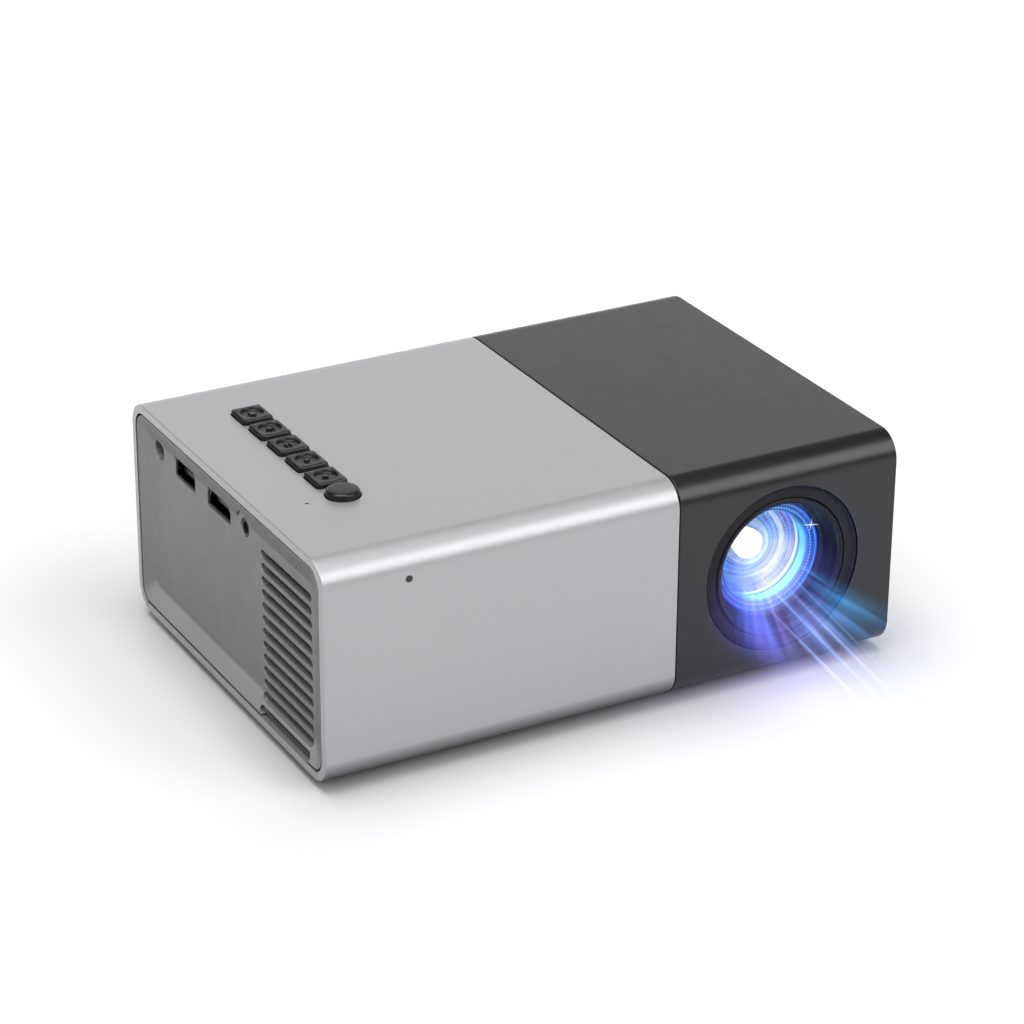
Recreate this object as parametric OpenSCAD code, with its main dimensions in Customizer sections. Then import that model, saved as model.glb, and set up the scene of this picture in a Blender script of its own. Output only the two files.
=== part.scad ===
// Compact home projector: a silver and black rounded casing on four feet, dished end panels with ports
// and vents, sprung top keys, an LCD light engine with a fan-cooled LED, and a lens focused by a ring.
// Millimetres. X runs along the length towards the lens end, the lens looks along -Y, and Z points up from
// the surface that the feet stand on. Heights inside body_frame() are taken from the underside of the casing.

/* [Body] */
// Length of the casing, along X
body_l = 182; // [180:1:220]
// Width of the casing, along Y
body_w = 128; // [126:1:156]
// Height of the casing without its feet
body_h = 67; // [66:1:82]
// Radius of the four long edges
corner_r = 8; // [7:0.5:10]
// Wall thickness of the casing
wall = 2.6; // [2.2:0.1:3.2]
// Length of the silver part, from the port end to the seam
silver_l = 109.8; // [105:0.1:112]
// Height of the tray rim that shows below the two covers
rim_h = 1.1; // [0.8:0.1:1.4]
// Gap along the seams between the covers and the tray
seam_gap = 0.2; // [0.15:0.05:0.4]

/* [Feet and tripod socket] */
// Height of a foot below the casing
foot_h = 2.4; // [1.5:0.1:4]
// Diameter of a foot
foot_d = 14; // [10:0.5:16]
// Distance of the feet from the ends
foot_from_end = 17; // [14:0.5:22]
// Distance of the feet from the sides
foot_from_side = 20; // [18:0.5:22]
// Bore of the tripod socket
tripod_bore_d = 5.2; // [5:0.05:5.3]
// Depth of the tripod socket
tripod_depth = 5; // [4.5:0.1:5.2]

/* [End panels] */
// Open seam round each end panel
panel_gap = 0.35; // [0.25:0.05:0.5]
// Depth of the dish in each end panel
dish_depth = 2; // [1:0.1:3]
// Width of the sloping border of the dish
dish_slope = 6; // [4:0.5:7]
// Thickness of the panel behind the dish
panel_t = 1.8; // [1.4:0.1:2.4]

/* [Vents] */
// Number of slots in a row
slot_count = 13; // [8:1:13]
// Length of a slot
slot_l = 31.8; // [24:0.2:32.6]
// Height of a slot
slot_h = 2.5; // [1.6:0.1:2.8]
// Distance from one slot to the next
slot_pitch = 4; // [3.6:0.1:4]
// Height of the lowest slot
slot_low_z = 4.6; // [4.5:0.1:6]
// Distance of the vents from the front face
vent_from_front = 27.3; // [27:0.1:29]

/* [Keys] */
// Size of a square key along X
key_l = 9.2; // [7.5:0.1:11.1]
// Size of a square key along Y
key_w = 9.7; // [8:0.1:10.6]
// Distance from one key to the next
key_pitch = 12.15; // [12:0.05:12.6]
// Distance of the key row from the port end
key_from_end = 25.1; // [24:0.1:30]
// Distance of the first key from the front face
key_from_front = 98.3; // [96:0.1:99]
// How far a square key stands proud
key_proud = 1.35; // [1:0.05:2]
// Diameter of the round power button
power_d = 9.8; // [8:0.1:10]
// Distance of the power button from the front face
power_from_front = 38.9; // [38:0.1:39.2]
// How far the power button stands proud
power_proud = 1.9; // [1.2:0.1:2.4]
// Travel of every key
key_travel = 0.6; // [0.3:0.05:0.7]
// Gap between a key and its hole
key_gap = 0.3; // [0.3:0.05:0.4]

/* [Ports] */
// Distance of the DC jack from the front face
dc_from_front = 112.8; // [111:0.1:113]
// Distance of the USB port from the front face
usb_from_front = 94.3; // [92:0.1:96]
// Distance of the HDMI port from the front face
hdmi_from_front = 71; // [70:0.1:73]
// Distance of the AV jack from the front face
av_from_front = 53.3; // [52.5:0.1:54]
// Bore of the DC jack
dc_bore_d = 5.8; // [5.6:0.1:6.2]
// Bore of the AV jack
av_bore_d = 3.6; // [3.5:0.05:3.7]

/* [Lens] */
// Distance of the lens axis from the lens end
lens_from_end = 37.4; // [37:0.1:40]
// Radius of the round opening in the front face
recess_r = 25.4; // [25:0.1:26]
// Outer radius of the sliding lens barrel
barrel_r = 17.3; // [14.4:0.1:17.6]
// Thickness of the barrel, mount and focus ring walls
tube_t = 1.8; // [1.6:0.05:1.9]
// Running clearance between barrel, mount and ring
tube_fit = 0.08; // [0.04:0.01:0.1]
// Radius of a cam pin
pin_r = 1.15; // [1:0.05:1.3]
// Travel of the barrel each way
barrel_travel = 2.2; // [1:0.1:2.4]
// Turn of the focus ring each way, in degrees
focus_turn = 45; // [30:5:45]

/* [Light engine] */
// Wall of the light engine housing
engine_t = 2; // [1.6:0.1:2.4]
// Width of the light engine, along Y
engine_w = 58; // [56:1:62]
// Thickness of the LCD panel
lcd_t = 2.4; // [1.6:0.1:3]
// Size of the square fan
fan_s = 45; // [40:0.5:45.4]
// Depth of the fan
fan_t = 10; // [8:0.5:10.5]
// Radius of the speaker
speaker_r = 18; // [14:0.5:18]

/* [Hidden] */
$fn = 96;
big = 400;

// Colours
silver = "#b9b9bc";
graphite = "#4a4a4d";
black = "#26262a";
steel = "#c9ccd0";
brass = "#c8a45a";
board_green = "#1f5a3c";
glass_tint = "#bcd8ea";

// Casing
left_x = -body_l / 2;
right_x = body_l / 2;
front_y = -body_w / 2;
rear_y = body_w / 2;
seam_x = left_x + silver_l;
tray_side = 6.2;
lip_t = 1.4;
lip_l = 4;
ledge_w = 1.2;
ledge_l = 2;
panel_rim = 0.6;
panel_inset = wall + panel_gap;
dish_inset = panel_inset + panel_rim + dish_slope;
plate_t = dish_depth + panel_t;
plate_back = left_x + plate_t;

// Screws: the case screws come up through the tray, the inner ones are all alike
case_shank_r = 1.2;
case_head_r = 2.4;
case_head_h = 1.3;
case_screw_l = 8;
case_boss_r = 3;
case_boss_h = 9.4;
screw_gap = 0.05;
boss_y = body_w / 2 - 11;
silver_boss_x = [left_x + 29, seam_x - 10.8];
black_boss_x = [seam_x + 11.2, right_x - 11];
screw_r = 1.2;
head_r = 2.2;
head_h = 1.5;
screw_l = 5;
lug_r = 3;
lug_t = 2.5;

// Board, keys and ports
top_z = body_h - wall;
board_t = 1.6;
board_z = body_h - 6.5;
board_low = board_z - board_t;
board_front = front_y + 30;
board_rear = front_y + 121;
board_left = left_x + 4.7;
board_right = left_x + 69;
ir_tongue = 6;
capacitor_r = 2.5;
capacitor_h = 2.6;
chip_w = 10;
chip_pitch = 14;
cooler_foot_w = 14;
cooler_w = 20;
cooler_plate_t = 0.8;
cooler_fin_t = 0.8;
cooler_fin_h = 2.2;
cooler_fin_pitch = 3.2;
cooler_fin_count = 7;
chip_t = 1.2;
post_spots = [[left_x + 9, front_y + 104.6], [left_x + 9, front_y + 59.9],
    [left_x + 63, front_y + 114], [left_x + 63, front_y + 36]];
key_x = left_x + key_from_end;
key_ys = [for (i = [0:4]) front_y + key_from_front - i * key_pitch];
power_y = front_y + power_from_front;
power_top = body_h + power_proud;
key_corner_r = 1.1;
key_recess_r = 3.3;
key_recess_d = 0.3;
flange_over = 1.4;
flange_t = 1;
flange_gap = 0.3;
flange_z = top_z - flange_gap - flange_t;
switch_s = 6;
switch_h = 1.5;
stem_r = 1.6;
well_gap = 0.4;
well_depth = key_travel + well_gap;
port_z = board_low - 3.6;
usb_w = 13.15;
usb_h = 5.72;
usb_skin = 0.32;
hdmi_w = 15;
hdmi_h = 5.5;
hdmi_chamfer = 1.5;
hdmi_skin = 0.45;
tongue_set_back = 1.5;
usb_tongue_w = 11.1;
usb_tongue_t = 1.8;
hdmi_tongue_w = 12;
hdmi_tongue_t = 1.9;
port_set_back = 0.5;
dc_pin_r = 1.05;
jack_w = 9.4;
jack_l = 13;
usb_l = 14;
hdmi_l = 12;
port_gap = 0.25;
spot_r = 5;
collar_r = 2.45;
av_z = port_z + 0.7;
light_x = left_x + 13.9;
light_y = front_y + 38.3;
light_r = 0.45;
ir_x = left_x + 25.6;
ir_z = board_low - 0.8;
ir_r = 1;

// Lens, measured as depth behind the front face
lens_x = right_x - lens_from_end;
lens_z = body_h / 2;
mount_r = barrel_r + tube_fit + tube_t + 0.24;
ring_in_r = mount_r + tube_fit;
ring_out_r = ring_in_r + tube_t;
bezel_in_r = ring_out_r + 0.3;
ring_front_d = 1;
mount_front_d = 7;
lip_d = mount_front_d - 0.4;
barrel_front_d = 8.5;
barrel_l = 29.5;
cam_d = 20;
ring_back_d = 28;
engine_front_d = 47;
mount_flange_r = 25;
mount_flange_t = 3;
mount_screw_r = 22.5;
glass_r = barrel_r - 1.8;
seat_r = glass_r + 0.1;
stop_r = glass_r - 1.7;
lens_sag = 2.5;
lens_mid_t = 7;
lens_curve = (glass_r * glass_r + lens_sag * lens_sag) / (2 * lens_sag);
stop_sag = lens_curve - sqrt(lens_curve * lens_curve - stop_r * stop_r);
front_glass_d = 11;
middle_glass_d = 21;
middle_glass_t = 6;
hollow_r = stop_r * stop_r / 4 + 1;
rear_glass_d = 28.5;
touch = 0.06;
front_stop_d = front_glass_d + lens_mid_t - stop_sag + touch;
rear_stop_d = rear_glass_d + lens_mid_t - stop_sag + touch;
pin_angles = [90, 210, 330];
slot_gap = 0.12;
cam_gap = 0.3;
cam_step = 5;
slot_half = barrel_travel + pin_r + cam_gap;

// Light engine, which ends at the heat sink and looks along +X into the mirror
optic_y = front_y + 76;
engine_x0 = lens_x - 97.6;
engine_x1 = lens_x + 21.4;
engine_y0 = front_y + engine_front_d;
engine_y1 = engine_y0 + engine_w;
engine_z0 = lens_z - 27.3;
engine_z1 = lens_z + 23.5;
groove = 0.8;
groove_gap = 0.15;
engine_feet = [[engine_x0 + 22, -1], [engine_x0 + 22, 1], [engine_x0 + 98, 1], [engine_x0 + 46, -1]];
engine_lugs = [[engine_x0 + 10, -1], [engine_x0 + 10, 1], [engine_x0 + 110, 1], [engine_x0 + 58, -1]];
led_board_t = 1.6;
led_t = 1.2;
cup_x = engine_x0 + 3;
cup_l = 25;
cup_t = 1.2;
condenser_x = cup_x + cup_l + 3;
heat_glass_x = engine_x0 + 44;
heat_glass_t = 1.1;
fresnel_t = 2;
fresnel_rear_x = heat_glass_x + 6;
lcd_x = fresnel_rear_x + 5;
fresnel_front_x = lcd_x + 6;
ribbon_x = lcd_x + lcd_t / 2;
ribbon_t = 0.3;
mirror_t = 2;
holder_t = 3;
mirror_half = 21;
sink_base_t = 4;
sink_fin_l = 22;
sink_y0 = optic_y - 42;
sink_y1 = optic_y + 22;
sink_z0 = lens_z - 24;
sink_z1 = lens_z + 22;
fin_t = 1.2;
fin_pitch = 4.18;
sink_foot_ys = [sink_y0 + 12, sink_y1 - 12];

// Fan and speaker, behind the vents
vent_y = front_y + vent_from_front;
vent_z = slot_low_z + (slot_count - 1) * slot_pitch / 2;
mesh_t = 0.3;
mesh_pitch = 2.8;
mesh_hole = 2;
mesh_columns = 5;
mesh_rows = 8;
mesh_x = plate_back + 0.1;
fan_x = plate_back + 0.7;
fan_hole = fan_s / 2 - 4;
fan_boss_r = 2.4;
fan_bore_r = fan_s / 2 - 1.3;
rotor_r = fan_bore_r - 0.7;
hub_r = 10;
fan_shaft_r = 1;
fan_shaft_fit = 0.05;
blade_count = 7;
speaker_y = front_y + 100.7;
speaker_x = right_x - plate_t - 0.7;
lead_z = board_low - 8;

// Frames and small shapes
module body_frame()
    translate([0, 0, foot_h])
        children();

// Local Z runs along the lens axis towards the front, and is zero on the middle plane
module lens_frame()
    translate([lens_x, 0, foot_h + lens_z])
        rotate([90, 0, 0])
            children();

// Local Z runs along +X from the given point
module x_frame(x, y, z)
    translate([x, y, foot_h + z])
        rotate([0, 90, 0])
            children();

module span(low, high)
    translate(low)
        cube(high - low);

module tube(r_out, r_in, h)
    difference() {
        cylinder(r = r_out, h = h);
        translate([0, 0, -1])
            cylinder(r = r_in, h = h + 2);
    }

module rounded_square(w, h, r) {
    square([w - 2 * r, h], center = true);
    square([w, h - 2 * r], center = true);
    for (sx = [-1, 1], sy = [-1, 1])
        translate([sx * (w / 2 - r), sy * (h / 2 - r)])
            circle(r);
}

module slot_2d(l, h) {
    square([l - h, h], center = true);
    for (s = [-1, 1])
        translate([s * (l - h) / 2, 0])
            circle(d = h);
}

// Turns a profile in Y and Z into a prism from x0 to x1
module along_x(x0, x1)
    translate([x0, 0, 0])
        rotate([90, 0, 90])
            linear_extrude(x1 - x0)
                children();

// Cross-section of the casing, drawn in by inset
module section(inset, r = corner_r)
    translate([0, body_h / 2])
        rounded_square(body_w - 2 * inset, body_h - 2 * inset, max(r - inset, 0.5));

// Depth behind the front face, in the lens frame
function at(d) = body_w / 2 - d;

module ring_profile(points)
    rotate_extrude()
        polygon([for (p = points) [p[0], at(p[1])]]);

// A screw with its head above the origin and its shank below
module inner_screw() {
    cylinder(r = head_r, h = head_h);
    translate([0, 0, -screw_l])
        cylinder(r = screw_r, h = screw_l + head_h / 2);
}

// Casing
module cover_skin(x0, x1)
    difference() {
        along_x(x0, x1)
            section(0);
        along_x(x0 - 1, x1 + 1)
            section(wall);
        span([x0 - 1, -big, -big], [x1 + 1, big, rim_h + seam_gap]);
        span([x0 - 1, front_y + tray_side - seam_gap, -big],
            [x1 + 1, rear_y - tray_side + seam_gap, wall + 1.6]);
    }

// Ring inside a cover that an end panel or the neighbouring cover bears on
module inner_ring(x0, x1, outer, depth)
    difference() {
        along_x(x0, x1)
            section(outer);
        along_x(x0 - 1, x1 + 1)
            section(outer + depth);
        span([x0 - 1, -big, -big], [x1 + 1, big, corner_r + 2]);
    }

module case_boss(x, side)
    difference() {
        union() {
            translate([x, side * boss_y, wall + 0.1])
                cylinder(r = case_boss_r, h = case_boss_h);
            translate([x - 1, side > 0 ? boss_y : front_y + wall - 0.2, wall + 0.1])
                cube([2, body_w / 2 - wall + 0.2 - boss_y, case_boss_h]);
        }
        translate([x, side * boss_y, 0])
            cylinder(r = case_shank_r + screw_gap, h = wall + case_boss_h - 1);
    }

module panel_ledge()
    inner_ring(plate_back, plate_back + ledge_l, wall - 0.2, ledge_w + 0.2);

module key_hole(x, y)
    translate([x, y, top_z - 1])
        linear_extrude(wall + 2)
            rounded_square(key_l + 2 * key_gap, key_w + 2 * key_gap, key_corner_r + key_gap);

module main_shell()
    color(silver)
        body_frame()
            difference() {
                union() {
                    cover_skin(left_x, seam_x - seam_gap / 2);
                    panel_ledge();
                    inner_ring(seam_x - lip_l, seam_x - seam_gap / 2, wall - 0.2, lip_t + seam_gap + 0.2);
                    inner_ring(seam_x - 1, seam_x + lip_l, wall + seam_gap, lip_t);
                    for (x = silver_boss_x, side = [-1, 1])
                        case_boss(x, side);
                    for (p = post_spots)
                        translate([p[0], p[1], board_z])
                            cylinder(r = 2.6, h = top_z - board_z + 0.2);
                }
                for (y = key_ys)
                    key_hole(key_x, y);
                translate([key_x, power_y, top_z - 1])
                    cylinder(d = power_d + 2 * key_gap, h = wall + 2);
                for (p = post_spots)
                    translate([p[0], p[1], board_z - 1])
                        cylinder(r = screw_r + screw_gap, h = screw_l + 0.2);
                translate([light_x, light_y, top_z - 1])
                    cylinder(r = light_r + screw_gap, h = wall + 2);
                translate([ir_x, front_y - 1, ir_z])
                    rotate([-90, 0, 0])
                        cylinder(r = ir_r + screw_gap, h = wall + 2);
            }

module lens_cover()
    color(graphite)
        body_frame()
            difference() {
                union() {
                    cover_skin(seam_x + seam_gap / 2, right_x);
                    mirror([1, 0, 0])
                        panel_ledge();
                    for (x = black_boss_x, side = [-1, 1])
                        case_boss(x, side);
                }
                translate([lens_x, front_y - 1, lens_z])
                    rotate([-90, 0, 0])
                        cylinder(r = recess_r, h = wall + 2);
            }

module base_tray()
    color(silver)
        body_frame()
            difference() {
                union() {
                    intersection() {
                        along_x(left_x, right_x)
                            section(0);
                        span([-big, -big, 0], [big, big, rim_h]);
                    }
                    span([left_x, front_y + tray_side, 0], [right_x, rear_y - tray_side, wall]);
                    for (f = engine_feet)
                        translate([f[0], engine_side_y(f[1]), 0])
                            cylinder(r = lug_r, h = engine_z0);
                    for (y = sink_foot_ys)
                        span([engine_x0 - 20, y - 2, 0], [engine_x0 - 6, y + 2, sink_z0]);
                    cylinder(r = 7, h = tripod_depth + 0.5);
                }
                for (sx = [-1, 1], sy = [-1, 1])
                    translate([sx * (body_l / 2 - foot_from_end), sy * (body_w / 2 - foot_from_side), -1])
                        cylinder(d = foot_d + 0.2, h = 1.8);
                for (x = concat(silver_boss_x, black_boss_x), side = [-1, 1])
                    translate([x, side * boss_y, -1]) {
                        cylinder(r = case_head_r + 0.2, h = 1 + case_head_h + 0.1);
                        cylinder(r = case_shank_r + 0.2, h = wall + 2);
                    }
                for (f = engine_feet)
                    translate([f[0], engine_side_y(f[1]), engine_z0 + lug_t - screw_l - 0.2])
                        cylinder(r = screw_r + screw_gap, h = screw_l + 1);
                translate([0, 0, -1])
                    cylinder(r = tripod_bore_d / 2 + 1.65, h = tripod_depth + 3);
            }

// Both end panels start from the same dished plate
module end_plate()
    difference() {
        along_x(left_x + 0.15, plate_back)
            section(panel_inset);
        hull() {
            along_x(left_x - 0.1, left_x + 0.16)
                section(panel_inset + panel_rim, corner_r, $fn = 32);
            along_x(left_x - 0.1, left_x + dish_depth)
                section(dish_inset, dish_inset + 2.5, $fn = 32);
        }
    }

module vent_cuts(y)
    for (i = [0:slot_count - 1])
        translate([0, y, slot_low_z + i * slot_pitch])
            along_x(left_x - 1, plate_back + 1)
                slot_2d(slot_l, slot_h);

function fan_holes() = [for (sy = [-1, 1], sz = [-1, 1]) [vent_y + sy * fan_hole, vent_z + sz * fan_hole]];

module port_panel()
    color(silver)
        body_frame()
            difference() {
                union() {
                    end_plate();
                    for (h = fan_holes())
                        translate([plate_back - 0.1, h[0], h[1]])
                            rotate([0, 90, 0])
                                cylinder(r = fan_boss_r, h = fan_x - plate_back + 0.1);
                }
                vent_cuts(vent_y);
                for (h = fan_holes())
                    translate([fan_x - 2.1, h[0], h[1]])
                        rotate([0, 90, 0])
                            cylinder(r = screw_r + screw_gap, h = 4);
                translate([left_x - 1, front_y + dc_from_front, port_z])
                    rotate([0, 90, 0])
                        cylinder(r = dc_bore_d / 2 + 0.1, h = plate_t + 2);
                translate([0, front_y + usb_from_front, port_z])
                    along_x(left_x - 1, plate_back + 1)
                        square([usb_w + 2 * port_gap, usb_h + 2 * port_gap], center = true);
                translate([0, front_y + hdmi_from_front, port_z])
                    along_x(left_x - 1, plate_back + 1)
                        hdmi_outline(port_gap);
                translate([left_x - 1, front_y + av_from_front, av_z])
                    rotate([0, 90, 0]) {
                        cylinder(r = spot_r, h = 1 + dish_depth);
                        cylinder(r = collar_r + port_gap, h = plate_t + 2);
                    }
            }

module side_panel()
    color(graphite)
        body_frame()
            mirror([1, 0, 0])
                difference() {
                    end_plate();
                    vent_cuts(speaker_y);
                }

module foot(side_x, side_y)
    color(black)
        translate([side_x * (body_l / 2 - foot_from_end), side_y * (body_w / 2 - foot_from_side), 0])
            rotate_extrude()
                polygon([[0, 0], [foot_d / 2 - 0.8, 0], [foot_d / 2, 0.8], [foot_d / 2, foot_h + 0.8],
                    [0, foot_h + 0.8]]);

module foot_front_left()
    foot(-1, -1);

module foot_front_right()
    foot(1, -1);

module foot_rear_left()
    foot(-1, 1);

module foot_rear_right()
    foot(1, 1);

module tripod_insert()
    color(brass)
        body_frame()
            difference() {
                cylinder(r = tripod_bore_d / 2 + 1.6, h = tripod_depth + 0.5);
                translate([0, 0, -1])
                    cylinder(d = tripod_bore_d, h = tripod_depth + 1);
            }

module case_screws()
    color(steel)
        body_frame()
            for (x = concat(silver_boss_x, black_boss_x), side = [-1, 1])
                translate([x, side * boss_y, 0.1]) {
                    cylinder(r = case_head_r, h = case_head_h);
                    cylinder(r = case_shank_r, h = case_head_h + case_screw_l);
                }

module inner_screws()
    color(steel) {
        body_frame() {
            for (p = post_spots)
                translate([p[0], p[1], board_low])
                    mirror([0, 0, 1])
                        inner_screw();
            for (f = engine_feet)
                translate([f[0], engine_side_y(f[1]), engine_z0 + lug_t])
                    inner_screw();
            for (f = engine_lugs)
                translate([f[0], engine_side_y(f[1]), lens_z + lug_t])
                    inner_screw();
            for (h = fan_holes())
                translate([fan_x + 3, h[0], h[1]])
                    rotate([0, 90, 0])
                        inner_screw();
        }
        lens_frame()
            for (a = [45:90:315])
                rotate([0, 0, a])
                    translate([mount_screw_r, 0, at(engine_front_d - mount_flange_t)])
                        inner_screw();
    }

// Dust screens behind the vents
module mesh_sheet()
    translate([0, 0, vent_z])
        along_x(mesh_x, mesh_x + mesh_t)
            difference() {
                square([slot_l + 1, slot_count * slot_pitch - 1.6], center = true);
                for (iy = [-mesh_columns:mesh_columns], iz = [-mesh_rows:mesh_rows])
                    translate([iy * mesh_pitch, iz * mesh_pitch])
                        square(mesh_hole, center = true);
            }

module outlet_mesh()
    color(steel)
        body_frame()
            difference() {
                translate([0, vent_y, 0])
                    mesh_sheet();
                for (h = fan_holes())
                    translate([left_x, h[0], h[1]])
                        rotate([0, 90, 0])
                            cylinder(r = fan_boss_r + 0.2, h = plate_t + 2);
            }

module intake_mesh()
    color(steel)
        body_frame()
            mirror([1, 0, 0])
                translate([0, speaker_y, 0])
                    mesh_sheet();

// Main board and what is on it
module main_board()
    color(board_green)
        body_frame()
            difference() {
                union() {
                    span([board_left, board_front, board_low], [board_right, board_rear, board_z]);
                    span([ir_x - ir_tongue, front_y + ir_tongue, board_low],
                        [ir_x + ir_tongue, board_front + 1, board_z]);
                }
                for (p = post_spots)
                    translate([p[0], p[1], board_low - 1])
                        cylinder(r = screw_r + 0.2, h = board_t + 2);
            }

module board_parts()
    color(black)
        body_frame() {
            for (i = [0:2])
                translate([board_right - 10 - 9 * i, board_front + 16, board_z])
                    cylinder(r = capacitor_r, h = capacitor_h);
            for (i = [0:2])
                translate([board_right - 4 - chip_w, board_front + 28 + chip_pitch * i, board_z])
                    cube([chip_w, chip_w, chip_t]);
            span([light_x - 0.8, light_y - 0.5, board_z], [light_x + 0.8, light_y + 0.5, board_z + 0.6]);
            span([board_right - 22, board_rear - 12, board_z],
                [board_right - 12, board_rear - 6, board_z + 2.4]);
        }

module tact_switches()
    color(black)
        body_frame()
            for (y = concat(key_ys, [power_y]))
                translate([key_x, y, board_z])
                    difference() {
                        translate([-switch_s / 2, -switch_s / 2, 0])
                            cube([switch_s, switch_s, switch_h]);
                        translate([0, 0, switch_h - well_depth])
                            cylinder(r = stem_r + well_gap, h = well_depth + 1);
                    }

module processor_sink()
    color(steel)
        body_frame()
            translate([board_right - 26, board_front + 46, board_z]) {
                translate([-cooler_foot_w / 2, -cooler_foot_w / 2, 0])
                    cube([cooler_foot_w, cooler_foot_w, 1]);
                translate([-cooler_w / 2, -cooler_w / 2, 1])
                    cube([cooler_w, cooler_w, cooler_plate_t]);
                for (i = [0:cooler_fin_count - 1])
                    translate([-cooler_w / 2, i * cooler_fin_pitch - cooler_w / 2, 1])
                        cube([cooler_w, cooler_fin_t, cooler_fin_h]);
            }

// Ports hang below the board
module dc_jack()
    color(black)
        body_frame()
            translate([0, front_y + dc_from_front, port_z]) {
                difference() {
                    span([plate_back, -jack_w / 2, -4],
                        [plate_back + jack_l, jack_w / 2, board_low - port_z]);
                    translate([plate_back - 1, 0, 0])
                        rotate([0, 90, 0])
                            cylinder(d = dc_bore_d, h = jack_l - 2);
                }
                translate([plate_back + 1, 0, 0])
                    rotate([0, 90, 0])
                            cylinder(r = dc_pin_r, h = jack_l - 3);
            }

// A pressed metal mouth with a contact tongue, closed at the back
module usb_port()
    color(steel)
        body_frame()
            translate([left_x + dish_depth + port_set_back, front_y + usb_from_front, port_z]) {
                difference() {
                    span([0, -usb_w / 2, -usb_h / 2], [usb_l, usb_w / 2, usb_h / 2]);
                    span([-1, usb_skin - usb_w / 2, usb_skin - usb_h / 2],
                        [usb_l - 2, usb_w / 2 - usb_skin, usb_h / 2 - usb_skin]);
                }
                span([tongue_set_back, -usb_tongue_w / 2, -usb_tongue_t], [usb_l - 1.5, usb_tongue_w / 2, 0]);
                for (sx = [5, 11], sy = [-1, 1])
                    translate([sx, sy * (usb_w / 2 - 1) - 0.5, usb_h / 2 - 0.1])
                        cube([2, 1, board_low - port_z - usb_h / 2 + 0.1]);
            }

// Outline of the HDMI mouth, with its two chamfered corners at the top
module hdmi_outline(grow) {
    side = hdmi_w / 2 + grow;
    half = hdmi_h / 2 + grow;
    polygon([[-side, -half], [side, -half], [side, half - hdmi_chamfer - 0.8], [side - hdmi_chamfer, half],
        [hdmi_chamfer - side, half], [-side, half - hdmi_chamfer - 0.8]]);
}

module hdmi_port()
    color(steel)
        body_frame()
            translate([left_x + dish_depth + port_set_back, front_y + hdmi_from_front, port_z]) {
                difference() {
                    along_x(0, hdmi_l)
                        hdmi_outline(0);
                    along_x(-1, hdmi_l - 1.5)
                        hdmi_outline(-hdmi_skin);
                }
                span([tongue_set_back, -hdmi_tongue_w / 2, -hdmi_tongue_t / 2],
                    [hdmi_l - 1, hdmi_tongue_w / 2, hdmi_tongue_t / 2]);
                for (sx = [4, 9], sy = [-1, 1])
                    translate([sx, sy * (hdmi_w / 2 - hdmi_chamfer - 1) - 0.5, hdmi_h / 2 - 0.1])
                        cube([2, 1, board_low - port_z - hdmi_h / 2 + 0.1]);
            }

module av_port()
    color(black)
        body_frame()
            translate([0, front_y + av_from_front, av_z])
                difference() {
                    union() {
                        span([plate_back, -3, -2.6], [plate_back + 12, 3, board_low - av_z]);
                        translate([left_x + dish_depth + 0.2, 0, 0])
                            rotate([0, 90, 0])
                                cylinder(r = collar_r, h = 3);
                    }
                    translate([left_x, 0, 0])
                        rotate([0, 90, 0])
                            cylinder(d = av_bore_d, h = plate_t + 11);
                }

module ir_receiver()
    color(black)
        body_frame()
            translate([ir_x, 0, 0]) {
                span([-2.8, front_y + wall + 0.8, ir_z - 3], [2.8, front_y + ir_tongue, ir_z + 3.4]);
                translate([0, front_y + wall + 0.4, ir_z])
                    rotate([-90, 0, 0])
                        cylinder(r = 1.6, h = 1);
            }

module ir_window()
    color(black)
        body_frame()
            translate([ir_x, front_y + 0.1, ir_z])
                rotate([-90, 0, 0])
                    cylinder(r = ir_r, h = wall + 0.3);

module status_light_pipe()
    color(glass_tint)
        body_frame()
            translate([light_x, light_y, 0]) {
                translate([0, 0, board_z + 0.8])
                    cylinder(r = light_r, h = body_h - board_z - 0.9);
                translate([0, 0, top_z - 0.9])
                    cylinder(r = 1.3, h = 0.8);
            }

// Square keys and the power button, each with a flange below the wall and a stem over its switch
module key_stem(y)
    translate([key_x, y, board_z + switch_h])
        cylinder(r = stem_r, h = flange_z - board_z - switch_h + 0.1);

module key_flange(y, l, w)
    translate([key_x - l / 2 - flange_over, y - w / 2, flange_z])
        cube([l + 2 * flange_over, w, flange_t]);

module key(i)
    color(graphite)
        body_frame() {
            key_stem(key_ys[i]);
            key_flange(key_ys[i], key_l, key_w - 0.6);
            difference() {
                translate([key_x, key_ys[i], flange_z])
                    linear_extrude(body_h + key_proud - flange_z)
                        rounded_square(key_l, key_w, key_corner_r);
                translate([key_x, key_ys[i], body_h + key_proud - key_recess_d])
                    cylinder(r = key_recess_r, h = 1);
            }
        }

module key_1()
    key(0);

module key_2()
    key(1);

module key_3()
    key(2);

module key_4()
    key(3);

module key_5()
    key(4);

module power_button()
    color(black)
        body_frame() {
            key_stem(power_y);
            key_flange(power_y, power_d, 7);
            translate([key_x, power_y, 0])
                rotate_extrude()
                    polygon([[0, flange_z], [power_d / 2, flange_z], [power_d / 2, power_top - 0.7],
                        [power_d / 2 - 0.6, power_top - 0.15], [power_d / 4, power_top], [0, power_top]]);
        }

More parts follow.
